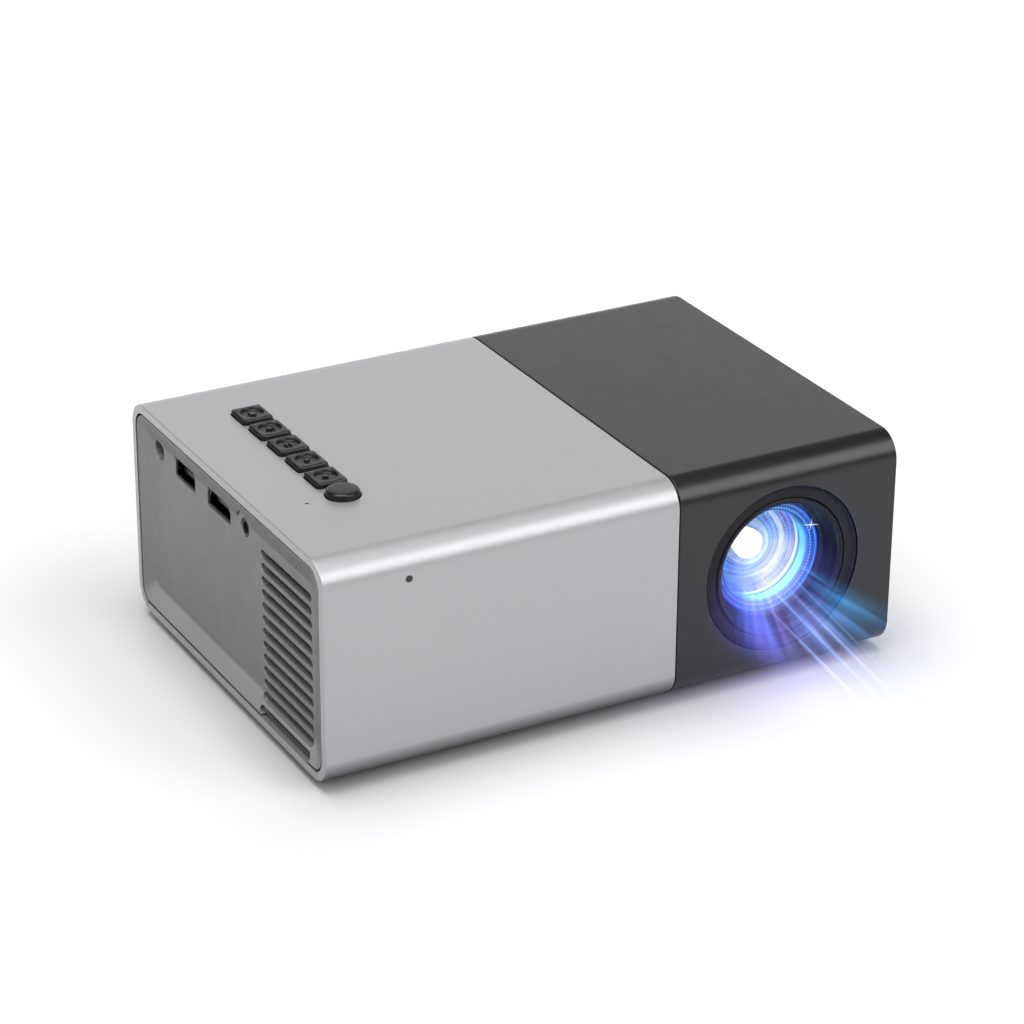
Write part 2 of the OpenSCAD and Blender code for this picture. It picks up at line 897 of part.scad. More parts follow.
// Fan
module fan_frame()
    color(black)
        x_frame(fan_x, vent_y, vent_z)
            difference() {
                union() {
                    difference() {
                        translate([-fan_s / 2, -fan_s / 2, 0])
                            cube([fan_s, fan_s, fan_t]);
                        translate([0, 0, -1])
                            cylinder(r = fan_bore_r, h = fan_t + 2);
                    }
                    translate([0, 0, fan_t - 1.5])
                        cylinder(r = hub_r, h = 1.5);
                    for (a = [0:90:270])
                        rotate([0, 0, a])
                            translate([hub_r - 1, -1, fan_t - 1.5])
                                cube([fan_bore_r - hub_r + 2, 2, 1.5]);
                }
                translate([0, 0, fan_t - 3])
                    cylinder(r = fan_shaft_r + fan_shaft_fit, h = 5);
                for (sx = [-1, 1], sy = [-1, 1])
                    translate([sx * fan_hole, sy * fan_hole, -1]) {
                        cylinder(r = screw_r + 0.2, h = fan_t + 2);
                        translate([0, 0, 4])
                            cylinder(r = head_r + 0.2, h = fan_t);
                    }
            }

module fan_rotor()
    color(graphite)
        x_frame(fan_x, vent_y, vent_z) {
            translate([0, 0, 0.8])
                cylinder(r = hub_r, h = fan_t - 2.8);
            translate([0, 0, 1])
                cylinder(r = fan_shaft_r, h = fan_t - 1.2);
            for (i = [0:blade_count - 1])
                intersection() {
                    rotate([0, 0, i * 360 / blade_count])
                        translate([0, 0, (fan_t - 1.2) / 2])
                            rotate([42, 0, 0])
                                translate([hub_r - 1, -4, -0.5])
                                    cube([rotor_r, 8, 1]);
                    translate([0, 0, 0.8])
                        cylinder(r = rotor_r, h = fan_t - 2.8);
                }
        }

// LED, heat sink and the lamp optics, all centred on the optic axis
module heat_sink()
    color(steel)
        body_frame() {
            span([engine_x0 - sink_base_t, sink_y0, sink_z0], [engine_x0, sink_y1, sink_z1]);
            for (y = [sink_y0:fin_pitch:sink_y1 - fin_t])
                span([engine_x0 - sink_base_t - sink_fin_l, y, sink_z0],
                    [engine_x0 - 1, y + fin_t, sink_z1]);
        }

module led_board()
    color(steel)
        body_frame()
            span([engine_x0, optic_y - 24, lens_z - 20],
                [engine_x0 + led_board_t, optic_y + 24, lens_z + 20]);

module led_emitter()
    color("gold")
        body_frame()
            span([engine_x0 + led_board_t, optic_y - 6, lens_z - 6],
                [engine_x0 + led_board_t + led_t, optic_y + 6, lens_z + 6]);

module reflector_cup()
    color(steel)
        x_frame(cup_x, optic_y, lens_z)
            rotate_extrude()
                polygon([[9, 0], [9 + cup_t, 0], [19 + cup_t, cup_l], [19, cup_l]]);

module condenser_lens()
    color(glass_tint)
        x_frame(condenser_x, optic_y, lens_z)
            intersection() {
                cylinder(r = 19, h = 9);
                translate([0, 0, 9 - 32])
                    sphere(r = 32);
            }

// A plate that slides into the grooves of the housing
module optic_plate(x, t)
    body_frame()
        span([x, engine_y0 + engine_t - groove + groove_gap, engine_z0 + engine_t - groove + groove_gap],
            [x + t, engine_y1 - engine_t + groove - groove_gap, engine_z1 - engine_t + groove - groove_gap]);

module heat_glass()
    color(glass_tint)
        optic_plate(heat_glass_x, heat_glass_t);

module fresnel_rear()
    color(glass_tint)
        optic_plate(fresnel_rear_x, fresnel_t);

module lcd_panel()
    color("#303848")
        optic_plate(lcd_x, lcd_t);

module fresnel_front()
    color(glass_tint)
        optic_plate(fresnel_front_x, fresnel_t);

// Housing, split on the height of the optic axis
function engine_side_y(side) = side < 0 ? engine_y0 - lug_r : engine_y1 + lug_r;

module engine_lug(x, side, z0, z1) {
    translate([x, engine_side_y(side), z0])
        cylinder(r = lug_r, h = z1 - z0);
    translate([x - lug_r, side < 0 ? engine_y0 - lug_r : engine_y1 - 1, z0])
        cube([2 * lug_r, lug_r + 1, z1 - z0]);
}

module engine_cavity() {
    span([engine_x0 - 1, engine_y0 + engine_t, engine_z0 + engine_t],
        [engine_x1 - engine_t, engine_y1 - engine_t, engine_z1 - engine_t]);
    for (p = [[heat_glass_x, heat_glass_t], [fresnel_rear_x, fresnel_t], [lcd_x, lcd_t],
        [fresnel_front_x, fresnel_t]])
        span([p[0] - groove_gap, engine_y0 + engine_t - groove, engine_z0 + engine_t - groove],
            [p[0] + p[1] + groove_gap, engine_y1 - engine_t + groove, engine_z1 - engine_t + groove]);
    translate([lens_x, engine_y0 - 1, lens_z])
        rotate([-90, 0, 0])
            cylinder(r = mount_r, h = engine_t + 2);
    for (a = [45:90:315])
        translate([lens_x + mount_screw_r * cos(a), engine_y0 - 1, lens_z + mount_screw_r * sin(a)])
            rotate([-90, 0, 0])
                cylinder(r = screw_r + screw_gap, h = engine_t + 2);
}

module engine_base()
    color(black)
        body_frame()
            difference() {
                union() {
                    span([engine_x0, engine_y0, engine_z0], [engine_x1, engine_y1, lens_z]);
                    for (f = engine_feet)
                        engine_lug(f[0], f[1], engine_z0, engine_z0 + lug_t);
                    for (f = engine_lugs)
                        engine_lug(f[0], f[1], lens_z - 6.5, lens_z);
                }
                engine_cavity();
                for (f = concat(engine_feet, engine_lugs))
                    translate([f[0], engine_side_y(f[1]), engine_z0 - 1])
                        cylinder(r = screw_r + screw_gap, h = engine_z1);
            }

module engine_lid()
    color(graphite)
        body_frame()
            difference() {
                union() {
                    span([engine_x0, engine_y0, lens_z], [engine_x1, engine_y1, engine_z1]);
                    for (f = engine_lugs)
                        engine_lug(f[0], f[1], lens_z, lens_z + lug_t);
                }
                engine_cavity();
                for (f = engine_lugs)
                    translate([f[0], engine_side_y(f[1]), lens_z - 1])
                        cylinder(r = screw_r + screw_gap, h = lug_t + 2);
                span([ribbon_x - 0.6, optic_y - 10.5, lens_z], [ribbon_x + 0.6, optic_y + 10.5, big]);
            }

module mirror_frame()
    translate([lens_x, optic_y, foot_h + lens_z])
        rotate([0, 0, 45])
            children();

module fold_mirror()
    color(steel)
        mirror_frame()
            span([0, -mirror_half, -mirror_half], [mirror_t, mirror_half, mirror_half - 1]);

module mirror_holder()
    color(black)
        mirror_frame()
            difference() {
                span([mirror_t, -mirror_half - 1, engine_z0 + engine_t - lens_z],
                    [mirror_t + holder_t, mirror_half + 1, mirror_half - 1]);
                rotate([0, 90, 0])
                    cylinder(r = 12, h = 10);
            }

// Lens
module lens_bezel()
    color(black)
        lens_frame()
            ring_profile([[bezel_in_r, 1.3], [recess_r - 1.3, 1.4], [recess_r - 0.2, 0.3],
                [recess_r - 0.2, wall + 0.2], [recess_r + 1, wall + 0.2], [recess_r + 1, wall + 1.6],
                [bezel_in_r, wall + 1.6]]);

module lens_mount()
    color(black)
        lens_frame()
            difference() {
                union() {
                    translate([0, 0, at(engine_front_d)])
                        cylinder(r = mount_flange_r, h = mount_flange_t);
                    translate([0, 0, at(engine_front_d)])
                        cylinder(r = mount_r, h = engine_front_d - mount_front_d);
                }
                translate([0, 0, at(engine_front_d) - 1])
                    cylinder(r = barrel_r + tube_fit, h = engine_front_d + 2);
                for (a = pin_angles)
                    rotate([0, 0, a])
                        translate([barrel_r - 1, -pin_r - slot_gap, at(cam_d) - slot_half])
                            cube([6, 2 * (pin_r + slot_gap), 2 * slot_half]);
                for (a = [45:90:315])
                    rotate([0, 0, a])
                        translate([mount_screw_r, 0, at(engine_front_d) - 1])
                            cylinder(r = screw_r + screw_gap, h = mount_flange_t + 2);
            }

// Sleeve with a helical slot for each pin, so that turning it slides the barrel
module focus_ring()
    color(graphite)
        lens_frame()
            difference() {
                ring_profile([[ring_out_r, ring_front_d + 0.4], [ring_out_r, ring_back_d],
                    [ring_in_r, ring_back_d], [ring_in_r, lip_d], [barrel_r + 0.6, lip_d],
                    [barrel_r + 0.8, lip_d - 0.8], [ring_out_r - 1.9, ring_front_d + 0.9],
                    [ring_out_r - 1.7, ring_front_d + 0.7], [ring_out_r - 0.4, ring_front_d]]);
                for (a = pin_angles, t = [-focus_turn:cam_step:focus_turn])
                    rotate([0, 0, a - t])
                        translate([ring_in_r - 1, 0, at(cam_d) + barrel_travel * t / focus_turn])
                            rotate([0, 90, 0])
                                cylinder(r = pin_r + cam_gap, h = tube_t + 2);
            }

module lens_barrel()
    color(black)
        lens_frame()
            difference() {
                ring_profile([[barrel_r, barrel_front_d + 0.4], [barrel_r, barrel_front_d + barrel_l],
                    [stop_r, barrel_front_d + barrel_l], [stop_r, rear_stop_d], [seat_r, rear_stop_d],
                    [seat_r, barrel_front_d], [barrel_r - 0.4, barrel_front_d]]);
                for (a = pin_angles)
                    rotate([0, 0, a])
                        translate([glass_r - 1, 0, at(cam_d)])
                            rotate([0, 90, 0])
                                cylinder(r = pin_r + 0.02, h = 4);
            }

module cam_pins()
    color(steel)
        lens_frame()
            for (a = pin_angles)
                rotate([0, 0, a])
                    translate([seat_r + 0.3, 0, at(cam_d)])
                        rotate([0, 90, 0])
                            cylinder(r = pin_r, h = ring_out_r - 0.4 - seat_r - 0.3);

// A lens with two equal bulging faces whose front vertex is at depth d
module convex_lens(d)
    color(glass_tint)
        lens_frame()
            intersection() {
                translate([0, 0, at(d + lens_mid_t)])
                    cylinder(r = glass_r, h = lens_mid_t);
                translate([0, 0, at(d + lens_curve)])
                    sphere(r = lens_curve);
                translate([0, 0, at(d + lens_mid_t - lens_curve)])
                    sphere(r = lens_curve);
            }

module front_lens()
    convex_lens(front_glass_d);

module rear_lens()
    convex_lens(rear_glass_d);

module middle_lens()
    color(glass_tint)
        lens_frame()
            difference() {
                translate([0, 0, at(middle_glass_d + middle_glass_t)])
                    cylinder(r = glass_r, h = middle_glass_t);
                for (s = [-1, 1])
                    translate([0, 0, at(middle_glass_d + middle_glass_t / 2) + s * (hollow_r + 1)])
                        sphere(r = hollow_r);
            }

module lens_spacers()
    color(black)
        lens_frame() {
            for (d = [[front_stop_d, middle_glass_d],
                [middle_glass_d + middle_glass_t, rear_glass_d + stop_sag - touch]])
                ring_profile([[stop_r, d[0]], [glass_r, d[0]], [glass_r, d[1]], [stop_r, d[1]]]);
        }

module retaining_ring()
    color(black)
        lens_frame()
            ring_profile([[stop_r + 0.6, barrel_front_d + 0.6], [glass_r, barrel_front_d + 0.6],
                [glass_r, front_glass_d + stop_sag - touch],
                [stop_r, front_glass_d + stop_sag - touch], [stop_r, barrel_front_d + 1.8]]);

// Speaker behind the intake vents
module speaker_frame()
    color(black)
        x_frame(speaker_x, speaker_y, vent_z)
            mirror([0, 0, 1]) {
                tube(speaker_r, speaker_r - 2, 2.4);
                translate([0, 0, 1.6])
                    rotate_extrude()
                        polygon([[speaker_r - 2.5, 0], [speaker_r - 1, 0], [11.5, 3], [10, 3]]);
                translate([0, 0, 4.4])
                    cylinder(r = 11.5, h = 5.2);
            }

module speaker_cone()
    color(graphite)
        x_frame(speaker_x, speaker_y, vent_z)
            mirror([0, 0, 1])
                translate([0, 0, 0.4])
                    rotate_extrude()
                        polygon([[0, 1.2], [4, 1.2], [4.6, 2.2], [speaker_r - 4, 0], [speaker_r - 2.2, 0],
                            [speaker_r - 2.2, 0.6], [speaker_r - 4, 0.6], [4.8, 2.9], [0, 2.9]]);

// Wires between the board, the fan, the LED and the speaker, laid in straight runs
module wire(points, r = 0.9)
    for (i = [0:len(points) - 2]) {
        step = points[i + 1] - points[i];
        translate(points[i])
            rotate([0, acos(step[2] / norm(step)), atan2(step[1], step[0])])
                cylinder(r = r, h = norm(step));
        if (i > 0)
            translate(points[i])
                sphere(r = 1.1 * r);
    }

module internal_leads()
    color("firebrick")
        body_frame() {
            wire([[fan_x + fan_t + 1, vent_y + 14, vent_z + 14],
                [fan_x + fan_t + 1, vent_y + 14, board_low]]);
            wire([[engine_x0 - 2, optic_y + 16, sink_z1], [engine_x0 - 2, optic_y + 16, board_low]]);
            wire([[speaker_x - 9.6, speaker_y + 8, vent_z + 6], [speaker_x - 13, speaker_y + 8, vent_z + 6],
                [speaker_x - 13, speaker_y + 8, lead_z], [board_right - 6, speaker_y + 8, lead_z],
                [board_right - 6, speaker_y + 8, board_low]]);
        }

module lcd_ribbon()
    color("peru")
        body_frame()
            translate([0, optic_y + 10, 0])
                rotate([90, 0, 0])
                    linear_extrude(20)
                        polygon([[ribbon_x - ribbon_t, engine_z1 - engine_t + groove - groove_gap],
                            [ribbon_x, engine_z1 - engine_t + groove - groove_gap],
                            [ribbon_x, board_low - 1 + ribbon_t], [board_right - 3, board_low - 1 + ribbon_t],
                            [board_right - 3, board_low], [board_right - 6, board_low],
                            [board_right - 6, board_low - 1], [ribbon_x - ribbon_t, board_low - 1]]);

main_shell();
lens_cover();
base_tray();
port_panel();
side_panel();
foot_front_left();
foot_front_right();
foot_rear_left();
foot_rear_right();
tripod_insert();
case_screws();
inner_screws();
outlet_mesh();
intake_mesh();
main_board();
board_parts();
tact_switches();
processor_sink();
dc_jack();
usb_port();
hdmi_port();
av_port();
ir_receiver();
ir_window();
status_light_pipe();
key_1();
key_2();
key_3();
key_4();
key_5();
power_button();
fan_frame();
fan_rotor();
heat_sink();
led_board();
led_emitter();
reflector_cup();
condenser_lens();
heat_glass();
fresnel_rear();
lcd_panel();
fresnel_front();
engine_base();
engine_lid();
fold_mirror();
mirror_holder();
lens_bezel();
lens_mount();
focus_ring();
lens_barrel();
cam_pins();
front_lens();
middle_lens();
rear_lens();
lens_spacers();
retaining_ring();
speaker_frame();
speaker_cone();
internal_leads();
lcd_ribbon();
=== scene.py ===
# Looks of the home projector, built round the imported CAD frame. Lengths below are in millimetres unless they
# are passed to Blender, which takes metres.
import math

import bmesh
import bpy
from mathutils import Matrix, Vector


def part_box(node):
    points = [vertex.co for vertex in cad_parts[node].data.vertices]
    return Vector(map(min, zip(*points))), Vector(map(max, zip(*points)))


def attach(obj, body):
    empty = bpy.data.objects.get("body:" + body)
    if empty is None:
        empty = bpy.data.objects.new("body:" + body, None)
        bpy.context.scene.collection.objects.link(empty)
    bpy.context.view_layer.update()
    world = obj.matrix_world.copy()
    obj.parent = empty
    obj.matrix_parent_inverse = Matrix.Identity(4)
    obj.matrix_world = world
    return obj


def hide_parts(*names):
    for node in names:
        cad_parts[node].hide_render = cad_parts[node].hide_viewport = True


MM = 0.001
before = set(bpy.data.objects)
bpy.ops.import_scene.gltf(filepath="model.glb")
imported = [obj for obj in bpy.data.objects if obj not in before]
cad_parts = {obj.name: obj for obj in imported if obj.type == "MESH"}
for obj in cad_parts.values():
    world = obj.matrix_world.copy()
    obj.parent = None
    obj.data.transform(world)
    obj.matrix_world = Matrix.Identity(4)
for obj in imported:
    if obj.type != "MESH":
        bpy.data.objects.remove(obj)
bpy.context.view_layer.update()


def mm_box(node):
    """Lowest and highest corner of a CAD node in millimetres."""
    low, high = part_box(node)
    return low / MM, high / MM


def middle(node):
    """Centre of a CAD node's box in millimetres."""
    return tuple((a + b) / 2 for a, b in zip(*mm_box(node)))


# ---------------------------------------------------------------- sizes, taken from the frame

tray_low, tray_high = mm_box("base_tray")
shell_low, shell_high = mm_box("main_shell")
cover_low = mm_box("lens_cover")[0]
LEFT_X, RIGHT_X = tray_low.x, tray_high.x
FRONT_Y, REAR_Y = shell_low.y, shell_high.y
LOW_Z, TOP_Z = tray_low.z, shell_high.z
MID_Z = (LOW_Z + TOP_Z) / 2
SEAM_GAP = 0.2
SEAM_X = cover_low.x - SEAM_GAP / 2
CORNER_R = 8
WALL = 2.6
RIM_H = 1.1
TRAY_SIDE = 6.2
PANEL_INSET = WALL + 0.35
PANEL_RIM = 0.6
DISH_SLOPE = 6
DISH_DEPTH = 2
PLATE_T = 3.8
PANEL_SET_BACK = 0.15
EDGE = 0.42

LENS_X, _, LENS_Z = middle("lens_bezel")
RECESS_R = 25.4

# ---------------------------------------------------------------- mesh helpers


def new_object(name, verts, faces):
    """A mesh object from points in millimetres, with its faces turned outwards."""
    mesh = bpy.data.meshes.new(name)
    mesh.from_pydata([(x * MM, y * MM, z * MM) for x, y, z in verts], [], faces)
    made = bpy.data.objects.new(name, mesh)
    bpy.context.scene.collection.objects.link(made)
    work = bmesh.new()
    work.from_mesh(mesh)
    bmesh.ops.remove_doubles(work, verts=work.verts, dist=1e-7)
    bmesh.ops.recalc_face_normals(work, faces=work.faces)
    work.to_mesh(mesh)
    work.free()
    return made


def loft(name, loops, capped=True):
    """A skin through loops of equally many points. Without caps the last loop joins the first one."""
    n, verts = len(loops[0]), [p for loop in loops for p in loop]
    count = len(loops)
    faces = []
    for i in range(count - 1 if capped else count):
        a, b = i * n, (i + 1) % count * n
        faces += [(a + j, a + (j + 1) % n, b + (j + 1) % n, b + j) for j in range(n)]
    if capped:
        faces += [tuple(range(n))[::-1], tuple((count - 1) * n + j for j in range(n))]
    return new_object(name, verts, faces)


def rounded(points, radii, steps=5):
    """A closed outline of 2-D points with each corner turned into an arc of its radius."""
    out, n = [], len(points)
    for i, corner in enumerate(points):
        r = radii[i] if isinstance(radii, (list, tuple)) else radii
        p, a, b = Vector(corner), Vector(points[i - 1]), Vector(points[(i + 1) % n])
        u, v = (a - p).normalized(), (b - p).normalized()
        turn = math.acos(max(-1, min(1, u.dot(v))))
        if r <= 0 or turn > math.radians(176):
            out.append(tuple(p))
            continue
        back = min(r / math.tan(turn / 2), 0.49 * (a - p).length, 0.49 * (b - p).length)
        r = back * math.tan(turn / 2)
        centre = p + (u + v).normalized() * (r / math.sin(turn / 2))
        s, e = p + u * back - centre, p + v * back - centre
        sweep = math.atan2(s.x * e.y - s.y * e.x, s.dot(e))
        for k in range(steps + 1):
            t = sweep * k / steps
            c, d = math.cos(t), math.sin(t)
            out.append((centre.x + s.x * c - s.y * d, centre.y + s.x * d + s.y * c))
    return out


LATHE_TURNS = 128


def lathe(name, profile, radii, steps=4):
    """A ring about the lens axis from a closed profile of [radius, depth behind the front face]."""
    outline = rounded(profile, radii, steps)
    angles = [2 * math.pi * k / LATHE_TURNS for k in range(LATHE_TURNS)]
    loops = [[lens_point(r, d, angle) for r, d in outline] for angle in angles]
    return loft(name, loops, capped=False)


def lens_point(r, depth, angle):
    return (LENS_X + r * math.cos(angle), FRONT_Y + depth, LENS_Z + r * math.sin(angle))


def disc_stack(name, rings, place, turns=64, capped=True):
    """Stacked circles: rings hold [radius, height] and place turns (u, v, height) into a point."""
    loops = [[place(r * math.cos(2 * math.pi * k / turns), r * math.sin(2 * math.pi * k / turns), h)
              for k in range(turns)] for r, h in rings]
    return loft(name, loops, capped)


def resampled(points, count):
    """The closed outline again with evenly spaced points."""
    ends = points[1:] + points[:1]
    lengths = [math.dist(a, b) for a, b in zip(points, ends)]
    total, made, k, passed = sum(lengths), [], 0, 0.0
    for i in range(count):
        target = total * i / count
        while passed + lengths[k] < target:
            passed += lengths[k]
            k += 1
        share = (target - passed) / lengths[k]
        made.append(tuple(a + (b - a) * share for a, b in zip(points[k], ends[k])))
    return made


def rect_loop(width, height, r, steps=6):
    """A rounded rectangle about the origin, starting on its right side."""
    w, h = width / 2, height / 2
    return rounded([(w, -h), (w, h), (-w, h), (-w, -h)], r, steps)


def apply_modifiers(target):
    graph = bpy.context.evaluated_depsgraph_get()
    mesh = bpy.data.meshes.new_from_object(target.evaluated_get(graph))
    old = target.data
    target.modifiers.clear()
    target.data = mesh
    bpy.data.meshes.remove(old)


def boolean(target, tools):
    """Cuts closed tools out of target and deletes them."""
    group = bpy.data.collections.new("tools")
    for tool in tools:
        group.objects.link(tool)
    cut = target.modifiers.new("cut", "BOOLEAN")
    cut.operand_type, cut.collection = "COLLECTION", group
    cut.operation, cut.solver = "DIFFERENCE", "EXACT"
    bpy.context.scene.collection.children.link(group)
    bpy.context.view_layer.update()
    apply_modifiers(target)
    for tool in list(tools):
        bpy.data.objects.remove(tool)
    bpy.data.collections.remove(group)
    return target


def join(name, parts):
    """One object from several, which keep their shapes."""
    work = bmesh.new()
    for part in parts:
        work.from_mesh(part.data)
        bpy.data.objects.remove(part)
    mesh = bpy.data.meshes.new(name)
    work.to_mesh(mesh)
    work.free()
    made = bpy.data.objects.new(name, mesh)
    bpy.context.scene.collection.objects.link(made)
    return made


def shade(piece, angle=28):
    """Smooth shading that keeps edges sharper than the angle, with large faces kept flat."""
    piece.data.shade_smooth()
    piece.data.set_sharp_from_angle(angle=math.radians(angle))
    even = piece.modifiers.new("even", "WEIGHTED_NORMAL")
    even.keep_sharp, even.weight = True, 100


def add_piece(piece, material, body, slot, *nodes, angle=28):
    """Shading, material, body and the CAD nodes that the piece stands for, which are hidden; the slot is not
    used.
    """
    shade(piece, angle)
    piece.data.materials.clear()
    piece.data.materials.append(material)
    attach(piece, body)
    if nodes:
        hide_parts(*nodes)
    return piece


# ---------------------------------------------------------------- material helpers


class Shader:
    """A material whose nodes are added one by one."""

    def __init__(self, name, base, roughness, metallic=0.0, **sockets):
        self.material = bpy.data.materials.new(name)
        self.material.use_nodes = True
        self.tree = self.material.node_tree
        self.bsdf = self.tree.nodes["Principled BSDF"]
        self.set("Base Color", (*base, 1))
        self.set("Roughness", roughness)
        self.set("Metallic", metallic)
        for key, value in sockets.items():
            self.set(key.replace("_", " ").title().replace("Ior", "IOR"), value)

    def set(self, socket, value):
        self.bsdf.inputs[socket].default_value = value

    def node(self, kind, **values):
        made = self.tree.nodes.new("ShaderNode" + kind)
        for key, value in values.items():
            if key in made.inputs:
                made.inputs[key].default_value = value
            else:
                setattr(made, key, value)
        return made

    def link(self, source, target):
        self.tree.links.new(source, target)

    def coords(self):
        return self.node("TexCoord").outputs["Object"]

    def noise(self, scale, detail=3.0, stretch=(1, 1, 1), roughness=0.5):
        """Noise in object space, at scale features per metre."""
        mapping = self.node("Mapping")
        mapping.inputs["Scale"].default_value = stretch
        self.link(self.coords(), mapping.inputs["Vector"])
        texture = self.node("TexNoise", Scale=scale, Detail=detail, Roughness=roughness)
        self.link(mapping.outputs["Vector"], texture.inputs["Vector"])
        return texture.outputs["Fac"]

    def ramp(self, source, stops):
        made = self.node("ValToRGB")
        ramp = made.color_ramp
        while len(ramp.elements) < len(stops):
            ramp.elements.new(0.5)
        for element, (place, colour) in zip(ramp.elements, stops):
            element.position = place
            element.color = (*colour, 1) if len(colour) == 3 else colour
        self.link(source, made.inputs["Fac"])
        return made.outputs["Color"]

    def spread(self, source, low, high):
        """Maps the middle of a noise onto low to high."""
        made = self.node("MapRange", **{"From Min": 0.3, "From Max": 0.7, "To Min": low, "To Max": high})
        self.link(source, made.inputs["Value"])
        return made.outputs["Result"]

    def math(self, operation, a, b=None, c=None, clamp=False):
        made = self.node("Math", operation=operation, use_clamp=clamp)
        for i, value in enumerate((a, b, c)):
            if value is None:
                continue
            if isinstance(value, (int, float)):
                made.inputs[i].default_value = value
            else:
                self.link(value, made.inputs[i])
        return made.outputs["Value"]

    def bump(self, height, distance, strength=1.0):
        """Distance is the bump's real height in metres."""
        made = self.node("Bump", Strength=strength, Distance=distance)
        self.link(height, made.inputs["Height"])
        self.link(made.outputs["Normal"], self.bsdf.inputs["Normal"])

    def tint(self, source, low, high):
        """Base colour that runs between two colours along a noise."""
        self.link(self.ramp(source, [(0.3, low), (0.7, high)]), self.bsdf.inputs["Base Color"])

    def paint_shade_by_facing(self, colour, axis, stops):
        """Painted shade: scales the base colour by which way the surface faces along an axis, from -1 to 1, so
        faces turned one way are painted darker.
        """
        facing = self.node("NewGeometry").outputs["Normal"]
        split = self.node("SeparateXYZ")
        self.link(facing, split.inputs[0])
        half = self.math("MULTIPLY_ADD", split.outputs[axis], 0.5, 0.5)
        tone = self.ramp(half, [(place * 0.5 + 0.5, (level, level, level)) for place, level in stops])
        mix = self.node("Mix", data_type="RGBA", blend_type="MULTIPLY")
        mix.inputs[0].default_value = 1.0
        self.link(colour, mix.inputs[6])
        self.link(tone, mix.inputs[7])
        self.link(mix.outputs[2], self.bsdf.inputs["Base Color"])
        return mix.outputs[2]

    def rough(self, source, low, high):
        self.link(self.spread(source, low, high), self.bsdf.inputs["Roughness"])


DRIFT = 0.06


def moulded(name, colour, roughness, grain=900, depth=0.000012, **sockets):
    """Moulded plastic: a fine spark-eroded grain, slight colour drift and uneven gloss."""
    made = Shader(name, colour, roughness, **sockets)
    made.tint(made.noise(35, 2), [c * (1 - DRIFT) for c in colour], [c * (1 + DRIFT) for c in colour])
    made.rough(made.noise(220, 3), roughness * 0.93, roughness * 1.07)
    made.bump(made.noise(grain, 4), depth)
    return made.material


def silver_paint():
    """Satin silver paint: fine aluminium flake under a soft clear coat, with a faint orange peel, and painted
    shade that darkens the faces turned downwards.
    """
    made = Shader("silver_paint", (0.40, 0.40, 0.414), 0.41, 0.62, coat_weight=0.12, coat_roughness=0.2)
    flake = made.ramp(made.noise(5200, 2), [(0.3, (0.39, 0.39, 0.403)), (0.7, (0.41, 0.41, 0.425))])
    # Painted shade: faces turned downwards, such as the bottom rounding, get a darker base colour.
    made.paint_shade_by_facing(flake, "Z", [(-1, 0.2), (-0.7, 0.28), (-0.2, 0.75), (0, 1)])
    made.rough(made.noise(240, 3), 0.39, 0.43)
    made.bump(made.noise(700, 3), 0.000006)
    return made.material


def panel_paint():
    """The end panel's satin silver, with painted light and shade by slope: slopes facing down are painted
    darker and slopes facing up lighter than the dish floor.
    """
    made = Shader("panel_silver", (0.40, 0.40, 0.416), 0.40, 0.45)
    drift_with_painted_shade = made.ramp(made.noise(35, 2), [(0.3, (0.39, 0.39, 0.406)), (0.7, (0.41, 0.41, 0.426))])
    # Painted shade and light: slopes facing down darker, slopes facing up lighter; then all but the rear
    # slope, which faces the front, painted a little darker.
    painted_shade_by_slope = [(-1, 0.13), (-0.31, 0.27), (-0.03, 0.48), (0.03, 0.51), (0.31, 0.95)]
    drift_with_painted_shade = made.paint_shade_by_facing(drift_with_painted_shade, "Z", painted_shade_by_slope)
    made.paint_shade_by_facing(drift_with_painted_shade, "Y", [(-1, 1.0), (-0.15, 1.0), (-0.02, 0.83), (1, 0.83)])
    made.rough(made.noise(220, 3), 0.37, 0.43)
    made.bump(made.noise(1400, 4), 0.00001)
    return made.material


def brushed_metal(name, colour, roughness, stretch=(1, 1, 1)):
    made = Shader(name, colour, roughness, 1.0)
    made.tint(made.noise(400, 3, stretch), [c * 0.9 for c in colour], colour)
    made.rough(made.noise(900, 3, stretch), roughness * 0.8, roughness * 1.2)
    made.bump(made.noise(1600, 3, stretch), 0.000004)
    return made.material


def circuit_board():
    """Green solder mask with darker tracks and a glossy coat."""
    made = Shader("board_mask", (0.02, 0.12, 0.05), 0.35)
    cells = made.node("TexVoronoi", Scale=240.0, feature="F1", distance="MANHATTAN")
    made.link(made.coords(), cells.inputs["Vector"])
    made.tint(cells.outputs["Distance"], (0.012, 0.09, 0.035), (0.03, 0.16, 0.07))
    made.rough(made.noise(500), 0.28, 0.4)
    return made.material


def clear(name, tint, roughness, ior=1.5):
    """Clear glass or plastic with a faint uneven polish."""
    made = Shader(name, tint, roughness, transmission_weight=1.0, ior=ior)
    made.rough(made.noise(300, 2), roughness * 0.6, roughness * 1.4)
    return made.material


